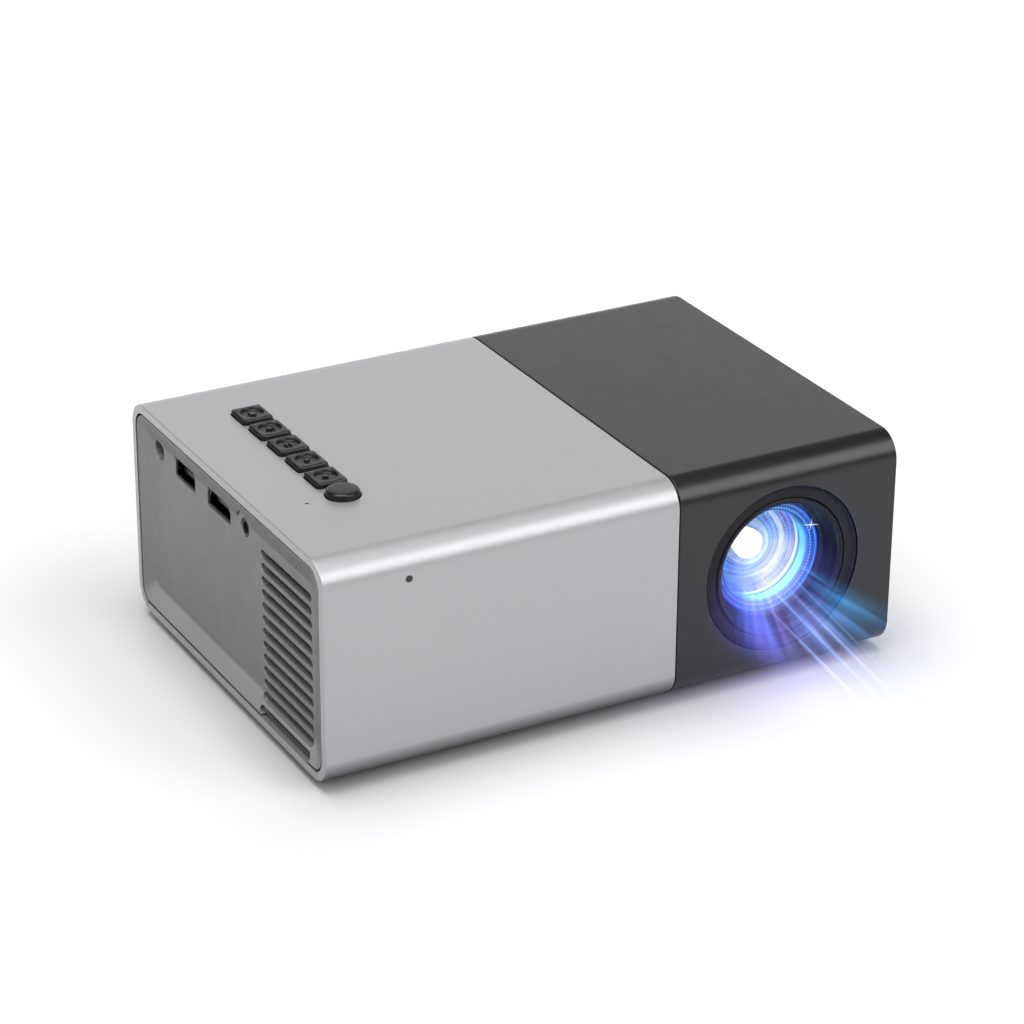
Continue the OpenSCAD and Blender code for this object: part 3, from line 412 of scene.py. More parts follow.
silver = silver_paint()
graphite = moulded("graphite_plastic", (0.006, 0.006, 0.0068), 0.31, grain=1100, depth=0.000005)
panel_silver = panel_paint()
key_black = moulded("key_black", (0.010, 0.010, 0.011), 0.28, grain=1500, depth=0.000008,
                    specular_ior_level=0.3)
inner_black = moulded("inner_black", (0.018, 0.018, 0.02), 0.5)
ring_black = moulded("ring_black", (0.006, 0.006, 0.007), 0.42, grain=1300, depth=0.000006,
                     specular_ior_level=0.22)
rubber = moulded("foot_rubber", (0.028, 0.028, 0.03), 0.75, grain=1800, depth=0.00002)
fan_black = moulded("fan_black", (0.02, 0.02, 0.022), 0.42)
steel = brushed_metal("bright_steel", (0.62, 0.63, 0.65), 0.26)
port_steel = brushed_metal("port_steel", (0.05, 0.05, 0.053), 0.28, (1, 6, 1))
aluminium = brushed_metal("aluminium", (0.66, 0.67, 0.68), 0.38, (1, 1, 8))
brass = brushed_metal("brass", (0.62, 0.42, 0.16), 0.3)
mirror_metal = brushed_metal("mirror_silver", (0.85, 0.87, 0.9), 0.04)
board_green = circuit_board()
glass = clear("optical_glass", (0.96, 0.98, 1.0), 0.015, 1.45)
panel_glass = clear("lcd_glass", (0.35, 0.4, 0.5), 0.08)
pipe_clear = clear("light_pipe", (0.85, 0.9, 0.88), 0.12)
paper = moulded("cone_paper", (0.03, 0.03, 0.034), 0.85, grain=2200, depth=0.00004)
ribbon = moulded("ribbon_film", (0.45, 0.20, 0.05), 0.35)
wire_red = moulded("wire_jacket", (0.35, 0.03, 0.03), 0.45)
led_gold = moulded("led_phosphor", (0.75, 0.6, 0.12), 0.6, grain=3000)
mesh_dark = brushed_metal("mesh_steel", (0.16, 0.16, 0.17), 0.42)

# Finish of every CAD node, by the material slot that the record gives it
SLOT_FINISH = {
    "silver_plastic": silver, "graphite_plastic": graphite, "foot_rubber": rubber, "brass_insert": brass,
    "screw_steel": steel, "mesh_steel": mesh_dark, "board": board_green, "black_plastic": inner_black,
    "heat_sink_aluminium": aluminium, "port_steel": port_steel, "light_pipe": pipe_clear,
    "key_plastic": key_black, "fan_plastic": fan_black, "led_yellow": led_gold, "reflector": mirror_metal,
    "optical_glass": glass, "lcd_glass": panel_glass, "mirror_glass": mirror_metal,
    "ring_plastic": ring_black,
    "speaker_paper": paper, "wire_jacket": wire_red, "ribbon_film": ribbon,
}

# ---------------------------------------------------------------- carried-over CAD nodes


def finish_cad_nodes():
    """Every CAD node takes the finish of its slot, whose name its packed material carries."""
    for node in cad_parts.values():
        for i, packed in enumerate(node.data.materials):
            node.data.materials[i] = SLOT_FINISH[packed.name.split(".")[0]]


finish_cad_nodes()

# ---------------------------------------------------------------- casing


def arc(centre, r, start, end, steps=14):
    """Points on an arc in a plane, with angles in degrees."""
    return [(centre[0] + r * math.cos(math.radians(start + (end - start) * k / steps)),
             centre[1] + r * math.sin(math.radians(start + (end - start) * k / steps)))
            for k in range(steps + 1)]


def mirrored(points):
    return [(-y, z) for y, z in reversed(points)]


def cover_outline(inset):
    """Cross-section of a cover as (y, z): a wall over the top and sides that ends just above the tray rim."""
    foot = LOW_Z + RIM_H + SEAM_GAP
    y, low, high = REAR_Y - CORNER_R, LOW_Z + CORNER_R, TOP_Z - CORNER_R
    r, r_in = CORNER_R - inset, CORNER_R - WALL
    reach = REAR_Y - TRAY_SIDE + SEAM_GAP
    start = math.degrees(math.asin((foot - low) / r))
    start_in = -math.degrees(math.acos((reach - y) / r_in))
    outer = arc((y, low), r, start, 0) + arc((y, high), r, 0, 90)
    inner = [(reach, foot)] + arc((y, low), r_in, start_in, 0) + arc((y, high), r_in, 0, 90)
    return outer + mirrored(outer) + list(reversed(inner + mirrored(inner)))


def round_over(size):
    """(grow, depth) pairs of a rounded edge, from the full size inside to the edge itself."""
    angles = [math.pi / 6 * k for k in range(4)]
    return [(size * (1 - math.cos(t)), size * (1 - math.sin(t))) for t in angles]


def extruded(name, outline, x0, x1):
    """A cross-section outline(inset) run along X, with rounded edges at both ends."""
    edge = round_over(EDGE)
    stations = [(x0 + d, g) for g, d in reversed(edge)] + [(x1 - d, g) for g, d in edge]
    return loft(name, [[(x, y, z) for y, z in outline(inset)] for x, inset in stations])


def cutter(outline, place, depth, mouth, past=1):
    """A tool that cuts outline(grow) to a depth, with a rounded mouth, and reaches past the surface."""
    stations = [(0, depth)] + round_over(mouth) + [(mouth, -past)]
    return loft("cutter", [[place(u, v, d) for u, v in outline(grow)] for grow, d in stations])


def circle_outline(r, turns=64):
    return lambda grow: [((r + grow) * math.cos(2 * math.pi * k / turns),
                          (r + grow) * math.sin(2 * math.pi * k / turns)) for k in range(turns)]


def rect_outline(width, height, r, steps=4):
    return lambda grow: rect_loop(width + 2 * grow, height + 2 * grow, r + grow, steps)


def from_top(x, y):
    """Turns (u, v, depth) into a point below the top face."""
    return lambda u, v, d: (x + u, y + v, TOP_Z - d)


def from_front(x, z):
    """Turns (u, v, depth) into a point behind the front face."""
    return lambda u, v, d: (x + u, FRONT_Y + d, z + v)


def from_below(x, y):
    """Turns (u, v, depth) into a point above the underside."""
    return lambda u, v, d: (x + u, y - v, LOW_Z + d)


KEY_NODES = ["key_1", "key_2", "key_3", "key_4", "key_5"]
KEY_GAP = 0.3
KEY_CORNER_R = 0.8
FLANGE_OVER = 1.4
KEY_HOLE_EDGE = 0.18
SMALL_HOLE_EDGE = 0.12
PIPE_HOLE_R = 0.5
IR_HOLE_R = 1.05

key_low, key_high = mm_box("key_1")
KEY_L = key_high.x - key_low.x - 2 * FLANGE_OVER
KEY_W = key_high.y - key_low.y
power_low, power_high = mm_box("power_button")
POWER_R = (power_high.y - power_low.y) / 2
power_x, power_y, _ = middle("power_button")
pipe_x, pipe_y, _ = middle("status_light_pipe")
ir_x, _, ir_z = middle("ir_window")


def build_main_shell():
    shell = extruded("silver_cover", cover_outline, LEFT_X, SEAM_X - SEAM_GAP / 2)
    hole = rect_outline(KEY_L + 2 * KEY_GAP, KEY_W + 2 * KEY_GAP, KEY_CORNER_R + KEY_GAP)
    tools = [cutter(hole, from_top(*middle(node)[:2]), WALL + 1, KEY_HOLE_EDGE) for node in KEY_NODES]
    power_hole = circle_outline(POWER_R + KEY_GAP)
    tools.append(cutter(power_hole, from_top(power_x, power_y), WALL + 1, KEY_HOLE_EDGE))
    pipe_hole = circle_outline(PIPE_HOLE_R, 32)
    tools.append(cutter(pipe_hole, from_top(pipe_x, pipe_y), WALL + 1, SMALL_HOLE_EDGE))
    tools.append(cutter(circle_outline(IR_HOLE_R, 40), from_front(ir_x, ir_z), WALL + 1, SMALL_HOLE_EDGE))
    add_piece(boolean(shell, tools), silver, "casing", "silver_plastic", "main_shell")


def build_lens_cover():
    shell = extruded("black_cover", cover_outline, SEAM_X + SEAM_GAP / 2, RIGHT_X)
    opening = cutter(circle_outline(RECESS_R, 160), from_front(LENS_X, LENS_Z), WALL + 1, 0.3)
    add_piece(boolean(shell, [opening]), graphite, "casing", "graphite_plastic", "lens_cover")


def tray_outline(inset):
    """Cross-section of the tray: a rim along the corner rounding, and a raised floor between the covers."""
    y, low = REAR_Y - CORNER_R, LOW_Z + CORNER_R
    r, top = CORNER_R - inset, LOW_Z + RIM_H
    end = math.degrees(math.asin((top - low) / r))
    half = arc((y, low), r, -90, end, 8) + [(REAR_Y - TRAY_SIDE, top), (REAR_Y - TRAY_SIDE, LOW_Z + WALL)]
    return half + mirrored(half)


FEET = ["foot_front_left", "foot_front_right", "foot_rear_left", "foot_rear_right"]
FOOT_POCKET_R = 7.1
TRIPOD_HOLE_R = 4.2
SCREW_HEAD_R = 2.4
SCREW_HEAD_H = 1.3
SCREW_SHANK_R = 1.2
LEFT_OF_SEAM, RIGHT_OF_SEAM = 10.8, 11.2


def screw_places():
    """Places of the case screws under the tray, four on each side."""
    low, high = mm_box("case_screws")
    half_y = (high.y - low.y) / 2 - SCREW_HEAD_R
    xs = [low.x + SCREW_HEAD_R, SEAM_X - LEFT_OF_SEAM, SEAM_X + RIGHT_OF_SEAM, high.x - SCREW_HEAD_R]
    return [(x, s * half_y) for x in xs for s in (-1, 1)], low.z


def build_tray():
    tray = extruded("base", tray_outline, LEFT_X, RIGHT_X)
    tools = [cutter(circle_outline(FOOT_POCKET_R), from_below(*middle(node)[:2]), 0.8, 0.15) for node in FEET]
    tools += [cutter(circle_outline(SCREW_HEAD_R + 0.2, 48), from_below(x, y), SCREW_HEAD_H + 0.2, 0.25)
              for x, y in screw_places()[0]]
    tools.append(cutter(circle_outline(TRIPOD_HOLE_R), from_below(0, 0), WALL + 1, 0.3))
    add_piece(boolean(tray, tools), silver, "casing", "silver_plastic", "base_tray")


def build_feet():
    for node in FEET:
        low, high = mm_box(node)
        x, y, _ = middle(node)
        r = (high.x - low.x) / 2
        rings = [[r - 3.2, 0.35], [r - 3.0, 0.05], [r - 2.8, 0], [r - 0.9, 0], [r - 0.45, 0.12],
                 [r - 0.12, 0.45], [r, 0.9], [r, high.z - low.z]]
        foot = disc_stack("rubber_" + node, rings, lambda u, v, h: (x + u, y + v, low.z + h))
        add_piece(foot, rubber, "casing", "foot_rubber", node)


def build_case_screws():
    places, z0 = screw_places()
    screws = []
    for x, y in places:
        rings = [[SCREW_HEAD_R - 0.25, 0], [SCREW_HEAD_R - 0.07, 0.07], [SCREW_HEAD_R, 0.25],
                 [SCREW_HEAD_R, SCREW_HEAD_H], [SCREW_SHANK_R, SCREW_HEAD_H],
                 [SCREW_SHANK_R, SCREW_HEAD_H + 6]]
        screw = disc_stack("screw", rings, lambda u, v, h: (x + u, y + v, z0 + h), 40)
        bars = [loft("bar", [[(x + u, y + v, z0 - 0.5 + h) for u, v in rect_loop(w, d, 0.1, 2)]
                             for h in (0, 1.3)]) for w, d in ((2.6, 0.6), (0.6, 2.6))]
        screws.append(boolean(boolean(screw, bars[:1]), bars[1:]))
    add_piece(join("case_screw_set", screws), steel, "casing", "screw_steel", "case_screws")


def build_tripod_insert():
    low, high = mm_box("tripod_insert")
    r_out, depth, pitch, crest = (high.x - low.x) / 2, high.z - low.z, 1.27, 2.6
    rings = [[r_out - 0.2, 0], [r_out, 0.2], [r_out, depth], [0.5, depth], [0.5, depth - 0.4]]
    bore = [[crest + 0.5, depth - 0.5]]
    for k in reversed(range(int(depth / pitch))):
        bore += [[crest + 0.5, k * pitch + 0.95], [crest, k * pitch + 0.7], [crest, k * pitch + 0.5]]
    bore += [[crest + 0.5, 0.2], [crest + 0.7, 0]]
    insert = disc_stack("brass_insert", rings + bore, lambda u, v, h: (u, v, low.z + h), capped=False)
    add_piece(insert, brass, "casing", "brass_insert", "tripod_insert")


# ---------------------------------------------------------------- end panels, vents and their screens

VENT_Z = middle("outlet_mesh")[2]
SLOT_L, SLOT_H, SLOT_PITCH, SLOT_COUNT = 31.8, 2.5, 4.0, 13


def section(inset, r):
    """Cross-section of the casing drawn in by inset, as (y, z)."""
    outline = rect_loop(REAR_Y - FRONT_Y - 2 * inset, TOP_Z - LOW_Z - 2 * inset, r, 8)
    return [(y, MID_Z + z) for y, z in outline]


def end_x(side):
    """The X of one end of the casing; side is -1 at the port end and 1 at the lens end."""
    return LEFT_X if side < 0 else RIGHT_X


def end_panel(name, side):
    """The dished plate of one end."""
    face, slope = PANEL_SET_BACK, DISH_SLOPE
    inner = PANEL_INSET + PANEL_RIM
    outer = PANEL_INSET + 0.25
    stations = [(PLATE_T, outer, 4.9), (face + 0.2, outer, 4.9), (face + 0.05, outer + 0.05, 4.85),
                (face, outer + 0.15, 4.8), (face, inner - 0.12, 4.55), (face + 0.03, inner, 4.45),
                (face + 0.14, inner + 0.3, 4.35)]
    last = stations[-1]
    floor = (DISH_DEPTH, inner + slope, 2.5)
    for t in (0.8, 0.9):
        stations.append(tuple(a + (b - a) * t for a, b in zip(last, floor)))
    stations += [(DISH_DEPTH - 0.05, inner + slope - 0.1, 2.5), (DISH_DEPTH, inner + slope + 0.35, 2.4)]
    return loft(name, [[(end_x(side) - side * d, y, z) for y, z in section(inset, r)]
                       for d, inset, r in stations])


def from_end(side, y, z):
    """Turns (u, v, depth below the dish floor) into a point on an end panel."""
    return lambda u, v, d: (end_x(side) - side * (DISH_DEPTH + d), y + u, z + v)


def wide_cutter(outline, place, mouth):
    """A cutter through the end plate that also clears what stands proud of the dish floor."""
    return cutter(outline, place, PLATE_T, mouth, DISH_DEPTH + 1)


def vent_tools(side, y):
    slot = rect_outline(SLOT_L, SLOT_H, SLOT_H / 2 - 0.01, 6)
    low = VENT_Z - (SLOT_COUNT - 1) * SLOT_PITCH / 2
    return [wide_cutter(slot, from_end(side, y, low + i * SLOT_PITCH), 0.2) for i in range(SLOT_COUNT)]


usb_low, usb_high = mm_box("usb_port")
hdmi_low, hdmi_high = mm_box("hdmi_port")
USB_W, USB_H = usb_high.y - usb_low.y, 5.72
HDMI_W, HDMI_H, HDMI_CHAMFER = hdmi_high.y - hdmi_low.y, 5.5, 1.5
PORT_Z = usb_low.z + USB_H / 2
AV_Z = PORT_Z + 0.7
PORT_GAP = 0.25
DC_HOLE_R = 3.0
AV_RECESS_R, AV_HOLE_R = 5.0, 2.7


def port_place(node, z=PORT_Z):
    return from_end(-1, middle(node)[1], z)


def hdmi_outline(extra):
    """The HDMI mouth as (y, z): chamfered at its two upper corners."""
    def outline(grow):
        g = grow + extra
        side, half, cut = HDMI_W / 2 + g, HDMI_H / 2 + g, HDMI_CHAMFER
        points = [(side, -half), (side, half - cut - 0.8), (side - cut, half), (cut - side, half),
                  (-side, half - cut - 0.8), (-side, -half)]
        return rounded(points, 0.35, 3)
    return outline


def build_port_panel():
    panel = end_panel("port_end_panel", -1)
    tools = vent_tools(-1, middle("outlet_mesh")[1])
    tools.append(wide_cutter(circle_outline(DC_HOLE_R), port_place("dc_jack"), 0.35))
    usb = rect_outline(USB_W + 2 * PORT_GAP, USB_H + 2 * PORT_GAP, 0.5)
    tools.append(wide_cutter(usb, port_place("usb_port"), 0.15))
    tools.append(wide_cutter(hdmi_outline(PORT_GAP), port_place("hdmi_port"), 0.15))
    av = port_place("av_port", AV_Z)
    recess = circle_outline(AV_RECESS_R)(0)
    tools.append(loft("cutter", [[av(u, v, d) for u, v in recess] for d in (0, -DISH_DEPTH - 1)]))
    panel = boolean(panel, tools)
    hole = cutter(circle_outline(AV_HOLE_R), av, PLATE_T, 0.2)
    add_piece(boolean(panel, [hole]), panel_silver, "casing", "silver_plastic", "port_panel")


def build_side_panel():
    panel = boolean(end_panel("lens_end_panel", 1), vent_tools(1, middle("intake_mesh")[1]))
    add_piece(panel, graphite, "casing", "graphite_plastic", "side_panel")


def build_screen(name, node):
    """A woven dust screen: a fine open grid of wires."""
    low, high = mm_box(node)
    x, y, z = middle(node)
    pitch, wire = 1.15, 0.28
    ny, nz = int((high.y - low.y) / pitch), int((high.z - low.z) / pitch)
    parts = []
    for count, other, along_y in ((nz, ny, True), (ny, nz, False)):
        for i in range(count + 1):
            c = (i - count / 2) * pitch
            reach = other * pitch / 2
            ring = [(wire / 2, 0), (0, wire / 2), (-wire / 2, 0), (0, -wire / 2)]
            loops = []
            for k in range(2 * other + 1):
                s = k * pitch / 2 - reach
                sag = 0.07 * math.cos(math.pi * (k / 2 + i)) * (1 if along_y else -1)
                yc, zc = (s, c) if along_y else (c, s)
                loops.append([(x + sag + a, y + yc + (0 if along_y else b), z + zc + (b if along_y else 0))
                              for a, b in ring])
            parts.append(loft("wire", loops))
    add_piece(join(name, parts), mesh_dark, "casing", "mesh_steel", node, angle=60)


# ---------------------------------------------------------------- keys


def build_key(node, icon):
    x, y, _ = middle(node)
    low_z, top = (corner.z for corner in mm_box(node))
    skirt = TOP_Z - WALL - 0.35
    outline = rect_outline(KEY_L, KEY_W, KEY_CORNER_R, 6)
    stations = [(0, skirt), (0, top - 0.42), (-0.05, top - 0.3), (-0.28, top - 0.04), (-0.4, top)]
    loops = [[(x + u, y + v, z) for u, v in resampled(outline(grow), 96)] for grow, z in stations]
    angles = [math.atan2(p[1] - y, p[0] - x) for p in loops[-1]]
    dish = [(3.6, top), (3.5, top - 0.03), (3.42, top - 0.12), (3.3, top - 0.5), (3.15, top - 0.6)]
    loops += [[(x + r * math.cos(a), y + r * math.sin(a), z) for a in angles] for r, z in dish]
    key = loft("cap_" + node, loops)
    stem = disc_stack("stem", [[1.6, low_z], [1.6, skirt]], lambda u, v, h: (x + u, y + v, h), 32)
    rim = rect_loop(KEY_L + 2 * FLANGE_OVER, KEY_W - 0.6, 0.3, 2)
    flange = loft("flange", [[(x + u, y + v, z) for u, v in rim] for z in (skirt - 1, skirt)])
    marks = [loft("mark", [[(x + u, y + v, z) for u, v in rounded(shape, 0.06, 2)]
                           for z in (top - 0.62, top - 0.1)]) for shape in icon]
    add_piece(join("key_cap_" + node[-1], [key, stem, flange] + marks), key_black, node, "key_plastic", node)


def turned(shape, degrees):
    c, s = math.cos(math.radians(degrees)), math.sin(math.radians(degrees))
    return [(x * c - y * s, x * s + y * c) for x, y in shape]


TRIANGLE = [(-0.55, -0.95), (1.1, 0), (-0.55, 0.95)]
BAR_PAIR = [[(-0.9, -1.0), (-0.35, -1.0), (-0.35, 1.0), (-0.9, 1.0)],
            [(0.35, -1.0), (0.9, -1.0), (0.9, 1.0), (0.35, 1.0)]]


def shifted(shape, dx, dy):
    return [(x + dx, y + dy) for x, y in shape]


ICONS = {
    "key_1": [[(-0.9, -1.2), (0.9, -1.2), (0.9, 1.2), (-0.9, 1.2)]],
    "key_2": [turned(shifted(TRIANGLE, 0.2, 0), 180),
              shifted([(0.7, -0.9), (1.1, -0.9), (1.1, 0.9), (0.7, 0.9)], 0.2, 0)],
    "key_3": BAR_PAIR,
    "key_4": [turned(TRIANGLE, 0)],
    "key_5": [turned(TRIANGLE, 180)],
}


def build_power_button():
    rise = power_high.z - TOP_Z
    r = POWER_R
    place = lambda u, v, h: (power_x + u, power_y + v, TOP_Z + h)
    skirt = -WALL - 0.35
    rings = [[r, skirt], [r, 0.25], [r - 0.12, rise - 0.75], [r - 0.2, rise - 0.5], [r - 0.42, rise - 0.26],
             [r - 0.75, rise - 0.13]]
    rings += [[(r - 0.75) * math.cos(t), rise - 0.13 + 0.13 * math.sin(t)] for t in (0.25, 0.55, 0.9, 1.25)]
    cap = disc_stack("cap", rings, place, 96)
    stem = disc_stack("stem", [[1.6, power_low.z - TOP_Z], [1.6, skirt]], place, 32)
    rim = rect_loop(2 * r + 2 * FLANGE_OVER, 7, 0.3, 2)
    flange = loft("flange", [[place(u, v, h) for u, v in rim] for h in (skirt - 1, skirt)])
    made = join("power_cap", [cap, stem, flange])
    add_piece(made, key_black, "power_button", "key_plastic", "power_button")


# ---------------------------------------------------------------- lens


GLOW_R = 17.9
GLASS_R = 15.5
BARREL_R = 17.3


def lens_light():
    """Painted light inside the lens, on parts that are no lamps: a white-hot centre in blue, cyan and lavender
    rings with ribbed bands, brighter towards the lower right.
    """
    made = Shader("lens_light", (0.01, 0.02, 0.05), 0.3)
    split = made.node("SeparateXYZ")
    made.link(made.coords(), split.inputs[0])
    x = made.math("SUBTRACT", split.outputs["X"], LENS_X * MM)
    z = made.math("SUBTRACT", split.outputs["Z"], LENS_Z * MM)
    r = made.math("SQRT", made.math("ADD", made.math("MULTIPLY", x, x), made.math("MULTIPLY", z, z)))
    share = made.math("DIVIDE", r, GLOW_R * MM)
    angle = made.math("ARCTAN2", z, x)
    white, pale, cyan, sky = (1.0, 1.0, 1.0), (0.50, 0.66, 1.0), (0.10, 0.60, 1.0), (0.22, 0.45, 1.0)
    blue, deep, lilac = (0.02, 0.12, 0.95), (0.003, 0.02, 0.30), (0.36, 0.38, 0.92)
    rings = made.ramp(share, [
        (0.0, white), (0.205, white), (0.235, sky), (0.30, pale), (0.335, cyan), (0.35, deep), (0.37, sky),
        (0.42, blue), (0.435, sky), (0.475, sky), (0.485, deep), (0.50, pale), (0.585, lilac), (0.595, sky),
        (0.63, sky), (0.64, blue), (0.66, lilac), (0.74, blue), (0.755, white), (0.77, cyan), (0.80, blue),
        (0.825, deep), (0.835, cyan), (0.86, blue), (0.90, deep), (0.915, cyan), (0.925, blue), (0.985, deep),
        (1.0, cyan)])
    ring_number = made.math("FLOOR", made.math("MULTIPLY", share, 21.0))
    polar = made.node("CombineXYZ")
    made.link(made.math("MULTIPLY", ring_number, 3.7), polar.inputs["X"])
    made.link(made.math("MULTIPLY", made.math("COSINE", angle), 1.1), polar.inputs["Y"])
    made.link(made.math("MULTIPLY", made.math("SINE", angle), 1.1), polar.inputs["Z"])
    arcs = made.node("TexNoise", Scale=1.0, Detail=2.0, Roughness=0.55)
    made.link(polar.outputs[0], arcs.inputs["Vector"])
    arc_light = made.spread(arcs.outputs["Fac"], 0.32, 1.55)
    ribs = made.math("GREATER_THAN", made.math("SINE", made.math("MULTIPLY", angle, 96.0)), 0.0)
    inner, outer, far = (made.math("COMPARE", share, place, half)
                         for place, half in ((0.455, 0.019), (0.612, 0.015), (0.845, 0.014)))
    banded = made.math("MAXIMUM", inner, made.math("MAXIMUM", outer, far))
    ribbed = made.math("MULTIPLY", ribs, banded)
    # Painted light: the glow is stronger towards the lower right.
    lower_right = made.math("COSINE", made.math("ADD", angle, 0.85))
    glow = made.math("MULTIPLY_ADD", lower_right, 0.22, 0.66)
    strength = made.math("MULTIPLY", arc_light, glow)
    strength = made.math("MULTIPLY", strength, made.math("MULTIPLY_ADD", banded, -0.75, 1.0))
    strength = made.math("ADD", strength, made.math("MULTIPLY", ribbed, 1.1))
    # A painted highlight: a bright crescent towards the lower right.
    towards = made.math("POWER", made.math("MAXIMUM", lower_right, 0.0), 3.0)
    crescent = made.math("MULTIPLY", made.math("COMPARE", share, 0.765, 0.014), towards)
    strength = made.math("ADD", strength, made.math("MULTIPLY", crescent, 1.1))
    hot = made.math("LESS_THAN", share, 0.21)
    strength = made.math("MAXIMUM", strength, made.math("MULTIPLY", hot, 2.2))
    lower_left = made.math("COSINE", made.math("ADD", angle, 2.5))
    tone = made.ramp(lower_left, [(0.25, (1.0, 1.0, 1.0)), (0.85, (0.12, 0.5, 1.0))])
    mix = made.node("Mix", data_type="RGBA", blend_type="MULTIPLY")
    made.link(made.math("GREATER_THAN", share, 0.3), mix.inputs[0])
    made.link(rings, mix.inputs[6])
    made.link(tone, mix.inputs[7])
    made.link(mix.outputs[2], made.bsdf.inputs["Emission Color"])
    made.link(strength, made.bsdf.inputs["Emission Strength"])
    return made.material


def air_glow(name, colour_stops, strength):
    """Light hanging in the air: adds its colour to what is behind it, by the piece's U and V coordinates."""
    material = bpy.data.materials.new(name)
    material.use_nodes = True
    nodes, links = material.node_tree.nodes, material.node_tree.links
    nodes.clear()

    def add(kind, *inputs, **settings):
        """A node with its settings, and its inputs in order as sockets or numbers."""
        made = nodes.new("ShaderNode" + kind)
        for key, value in settings.items():
            setattr(made, key, value)
        for socket, value in zip(made.inputs, inputs):
            if isinstance(value, (int, float)):
                socket.default_value = value
            else:
                links.new(value, socket)
        return made

    along, across, _ = add("SeparateXYZ", add("UVMap").outputs[0]).outputs
    ramp = add("ValToRGB", along)
    ramp.color_ramp.interpolation = "EASE"
    for k, (place, colour) in enumerate(colour_stops):
        stop = ramp.color_ramp.elements[k] if k < 2 else ramp.color_ramp.elements.new(place)
        stop.position = place
        stop.color = (*colour, 1)
    from_side = add("Math", across, 0.5, operation="PINGPONG").outputs[0]
    soft = add("Math", from_side, 1.6, operation="POWER").outputs[0]
    level = add("Math", soft, strength * 3, operation="MULTIPLY").outputs[0]
    light = add("Emission", ramp.outputs["Color"], level).outputs[0]
    add("OutputMaterial", add("AddShader", light, add("BsdfTransparent").outputs[0]).outputs[0])
    return material


def fading(colour):
    """Colour stops that fade out along a strip of light."""
    stops = [(0.0, 0.0), (0.14, 1.0), (0.4, 0.5), (1.0, 0.0)]
    return [(place, [c * level for c in colour]) for place, level in stops]


def hang_in_air(piece):
    """Light in the air is seen, but neither lights nor shadows anything, and isn't part of the object."""
    piece.visible_diffuse = piece.visible_shadow = False


def ray(name, start, end, start_w, end_w, material):
    """A strip of light from start to end that widens on its way, its width lying across the beam."""
    a, b = Vector(start), Vector(end)
    side = (b - a).cross(Vector((0.3, -0.25, 0.9))).normalized()
    corners = [a - side * start_w / 2, b - side * end_w / 2, b + side * end_w / 2, a + side * start_w / 2]
    strip = new_object(name, [tuple(c) for c in corners], [(0, 1, 2, 3)])
    layer = strip.data.uv_layers.new(name="UVMap")
    for loop, spot in zip(layer.data, [(0, 0), (1, 0), (1, 1), (0, 1)]):
        loop.uv = spot
    strip.data.materials.append(material)
    hang_in_air(strip)


def halo(name, centre, r, colour_stops, strength):
    """A round patch of light in the air that fades out towards its edge."""
    count = 48
    rim = [(centre[0] + r * math.cos(t), centre[1], centre[2] + r * math.sin(t))
           for t in (2 * math.pi * k / count for k in range(count))]
    patch = new_object(name, [tuple(centre)] + rim, [(0, k + 1, (k + 1) % count + 1) for k in range(count)])
    layer = patch.data.uv_layers.new(name="UVMap")
    for face in patch.data.polygons:
        for i, spot in zip(face.loop_indices, [(0, 0.5), (1, 0.5), (1, 0.5)]):
            layer.data[i].uv = spot
    patch.data.materials.append(air_glow(name, colour_stops, strength))
    hang_in_air(patch)


FAN_COLOURS = [(0.05, 0.10, 0.66), (0.11, 0.16, 0.70), (0.21, 0.17, 0.62), (0.14, 0.20, 0.70),
               (0.25, 0.21, 0.64), (0.16, 0.25, 0.72), (0.20, 0.27, 0.68), (0.07, 0.25, 0.66),
               (0.03, 0.25, 0.58), (0.02, 0.20, 0.46)]


def build_beam():
    """A soft blue fan and a few sharp rays coming out of the lens and down towards the floor."""
    for k, colour in enumerate(FAN_COLOURS):
        a = math.radians(-150 + 14 * k)
        reach = 29 + 0.6 * k
        start = (LENS_X + 9 * math.cos(a) - 1, FRONT_Y + 8, LENS_Z + 9 * math.sin(a) + 2)
        end = (LENS_X + reach * math.cos(a) * 0.9 + 3, FRONT_Y - 22, LENS_Z + reach * math.sin(a) * 0.75 - 6)
        ray(f"beam_fan_{k}", start, end, 4, 21, air_glow(f"beam_fan_{k}", fading(colour), 1.0))
    halo("halo_inner", (LENS_X, FRONT_Y + 7, LENS_Z - 4), 16,
         [(0.0, (0.50, 0.50, 0.80)), (0.4, (0.24, 0.26, 0.60)), (1.0, (0, 0, 0))], 1.0)
    halo("halo_outer", (LENS_X - 3, FRONT_Y - 1, LENS_Z - 7), 24,
         [(0.0, (0.12, 0.13, 0.42)), (0.5, (0.055, 0.045, 0.22)), (1.0, (0, 0, 0))], 0.6)
    thin = air_glow("beam_ray", fading((0.35, 0.55, 1.0)), 0.6)
    rays = [(-4, 0, 3.0), (-2, -3, 1.6), (0, 0, 2.4), (1, 4, 1.4), (-7, -4, 2.6)]
    for k, (dx, dz, width) in enumerate(rays):
        start = (LENS_X + dx - 3, FRONT_Y + 8, LENS_Z + dz)
        end = (LENS_X + dx + 14, FRONT_Y - 50, LENS_Z - 29 + dz)
        ray(f"beam_ray_{k}", start, end, width * 0.5, width * 1.4, thin)
    glint = air_glow("glint", [(0.0, (0, 0, 0)), (0.5, (0.8, 0.9, 1.0)), (1.0, (0, 0, 0))], 1.6)
    centre = Vector((LENS_X + 13.2, FRONT_Y + 6.5, LENS_Z + 8.2))
    for k, (reach, width) in enumerate([(Vector((3.4, 0, -0.6)), 0.9), (Vector((0.5, 0, 2.6)), 0.7)]):
        ray(f"glint_{k}", centre - reach, centre + reach, width, width, glint)


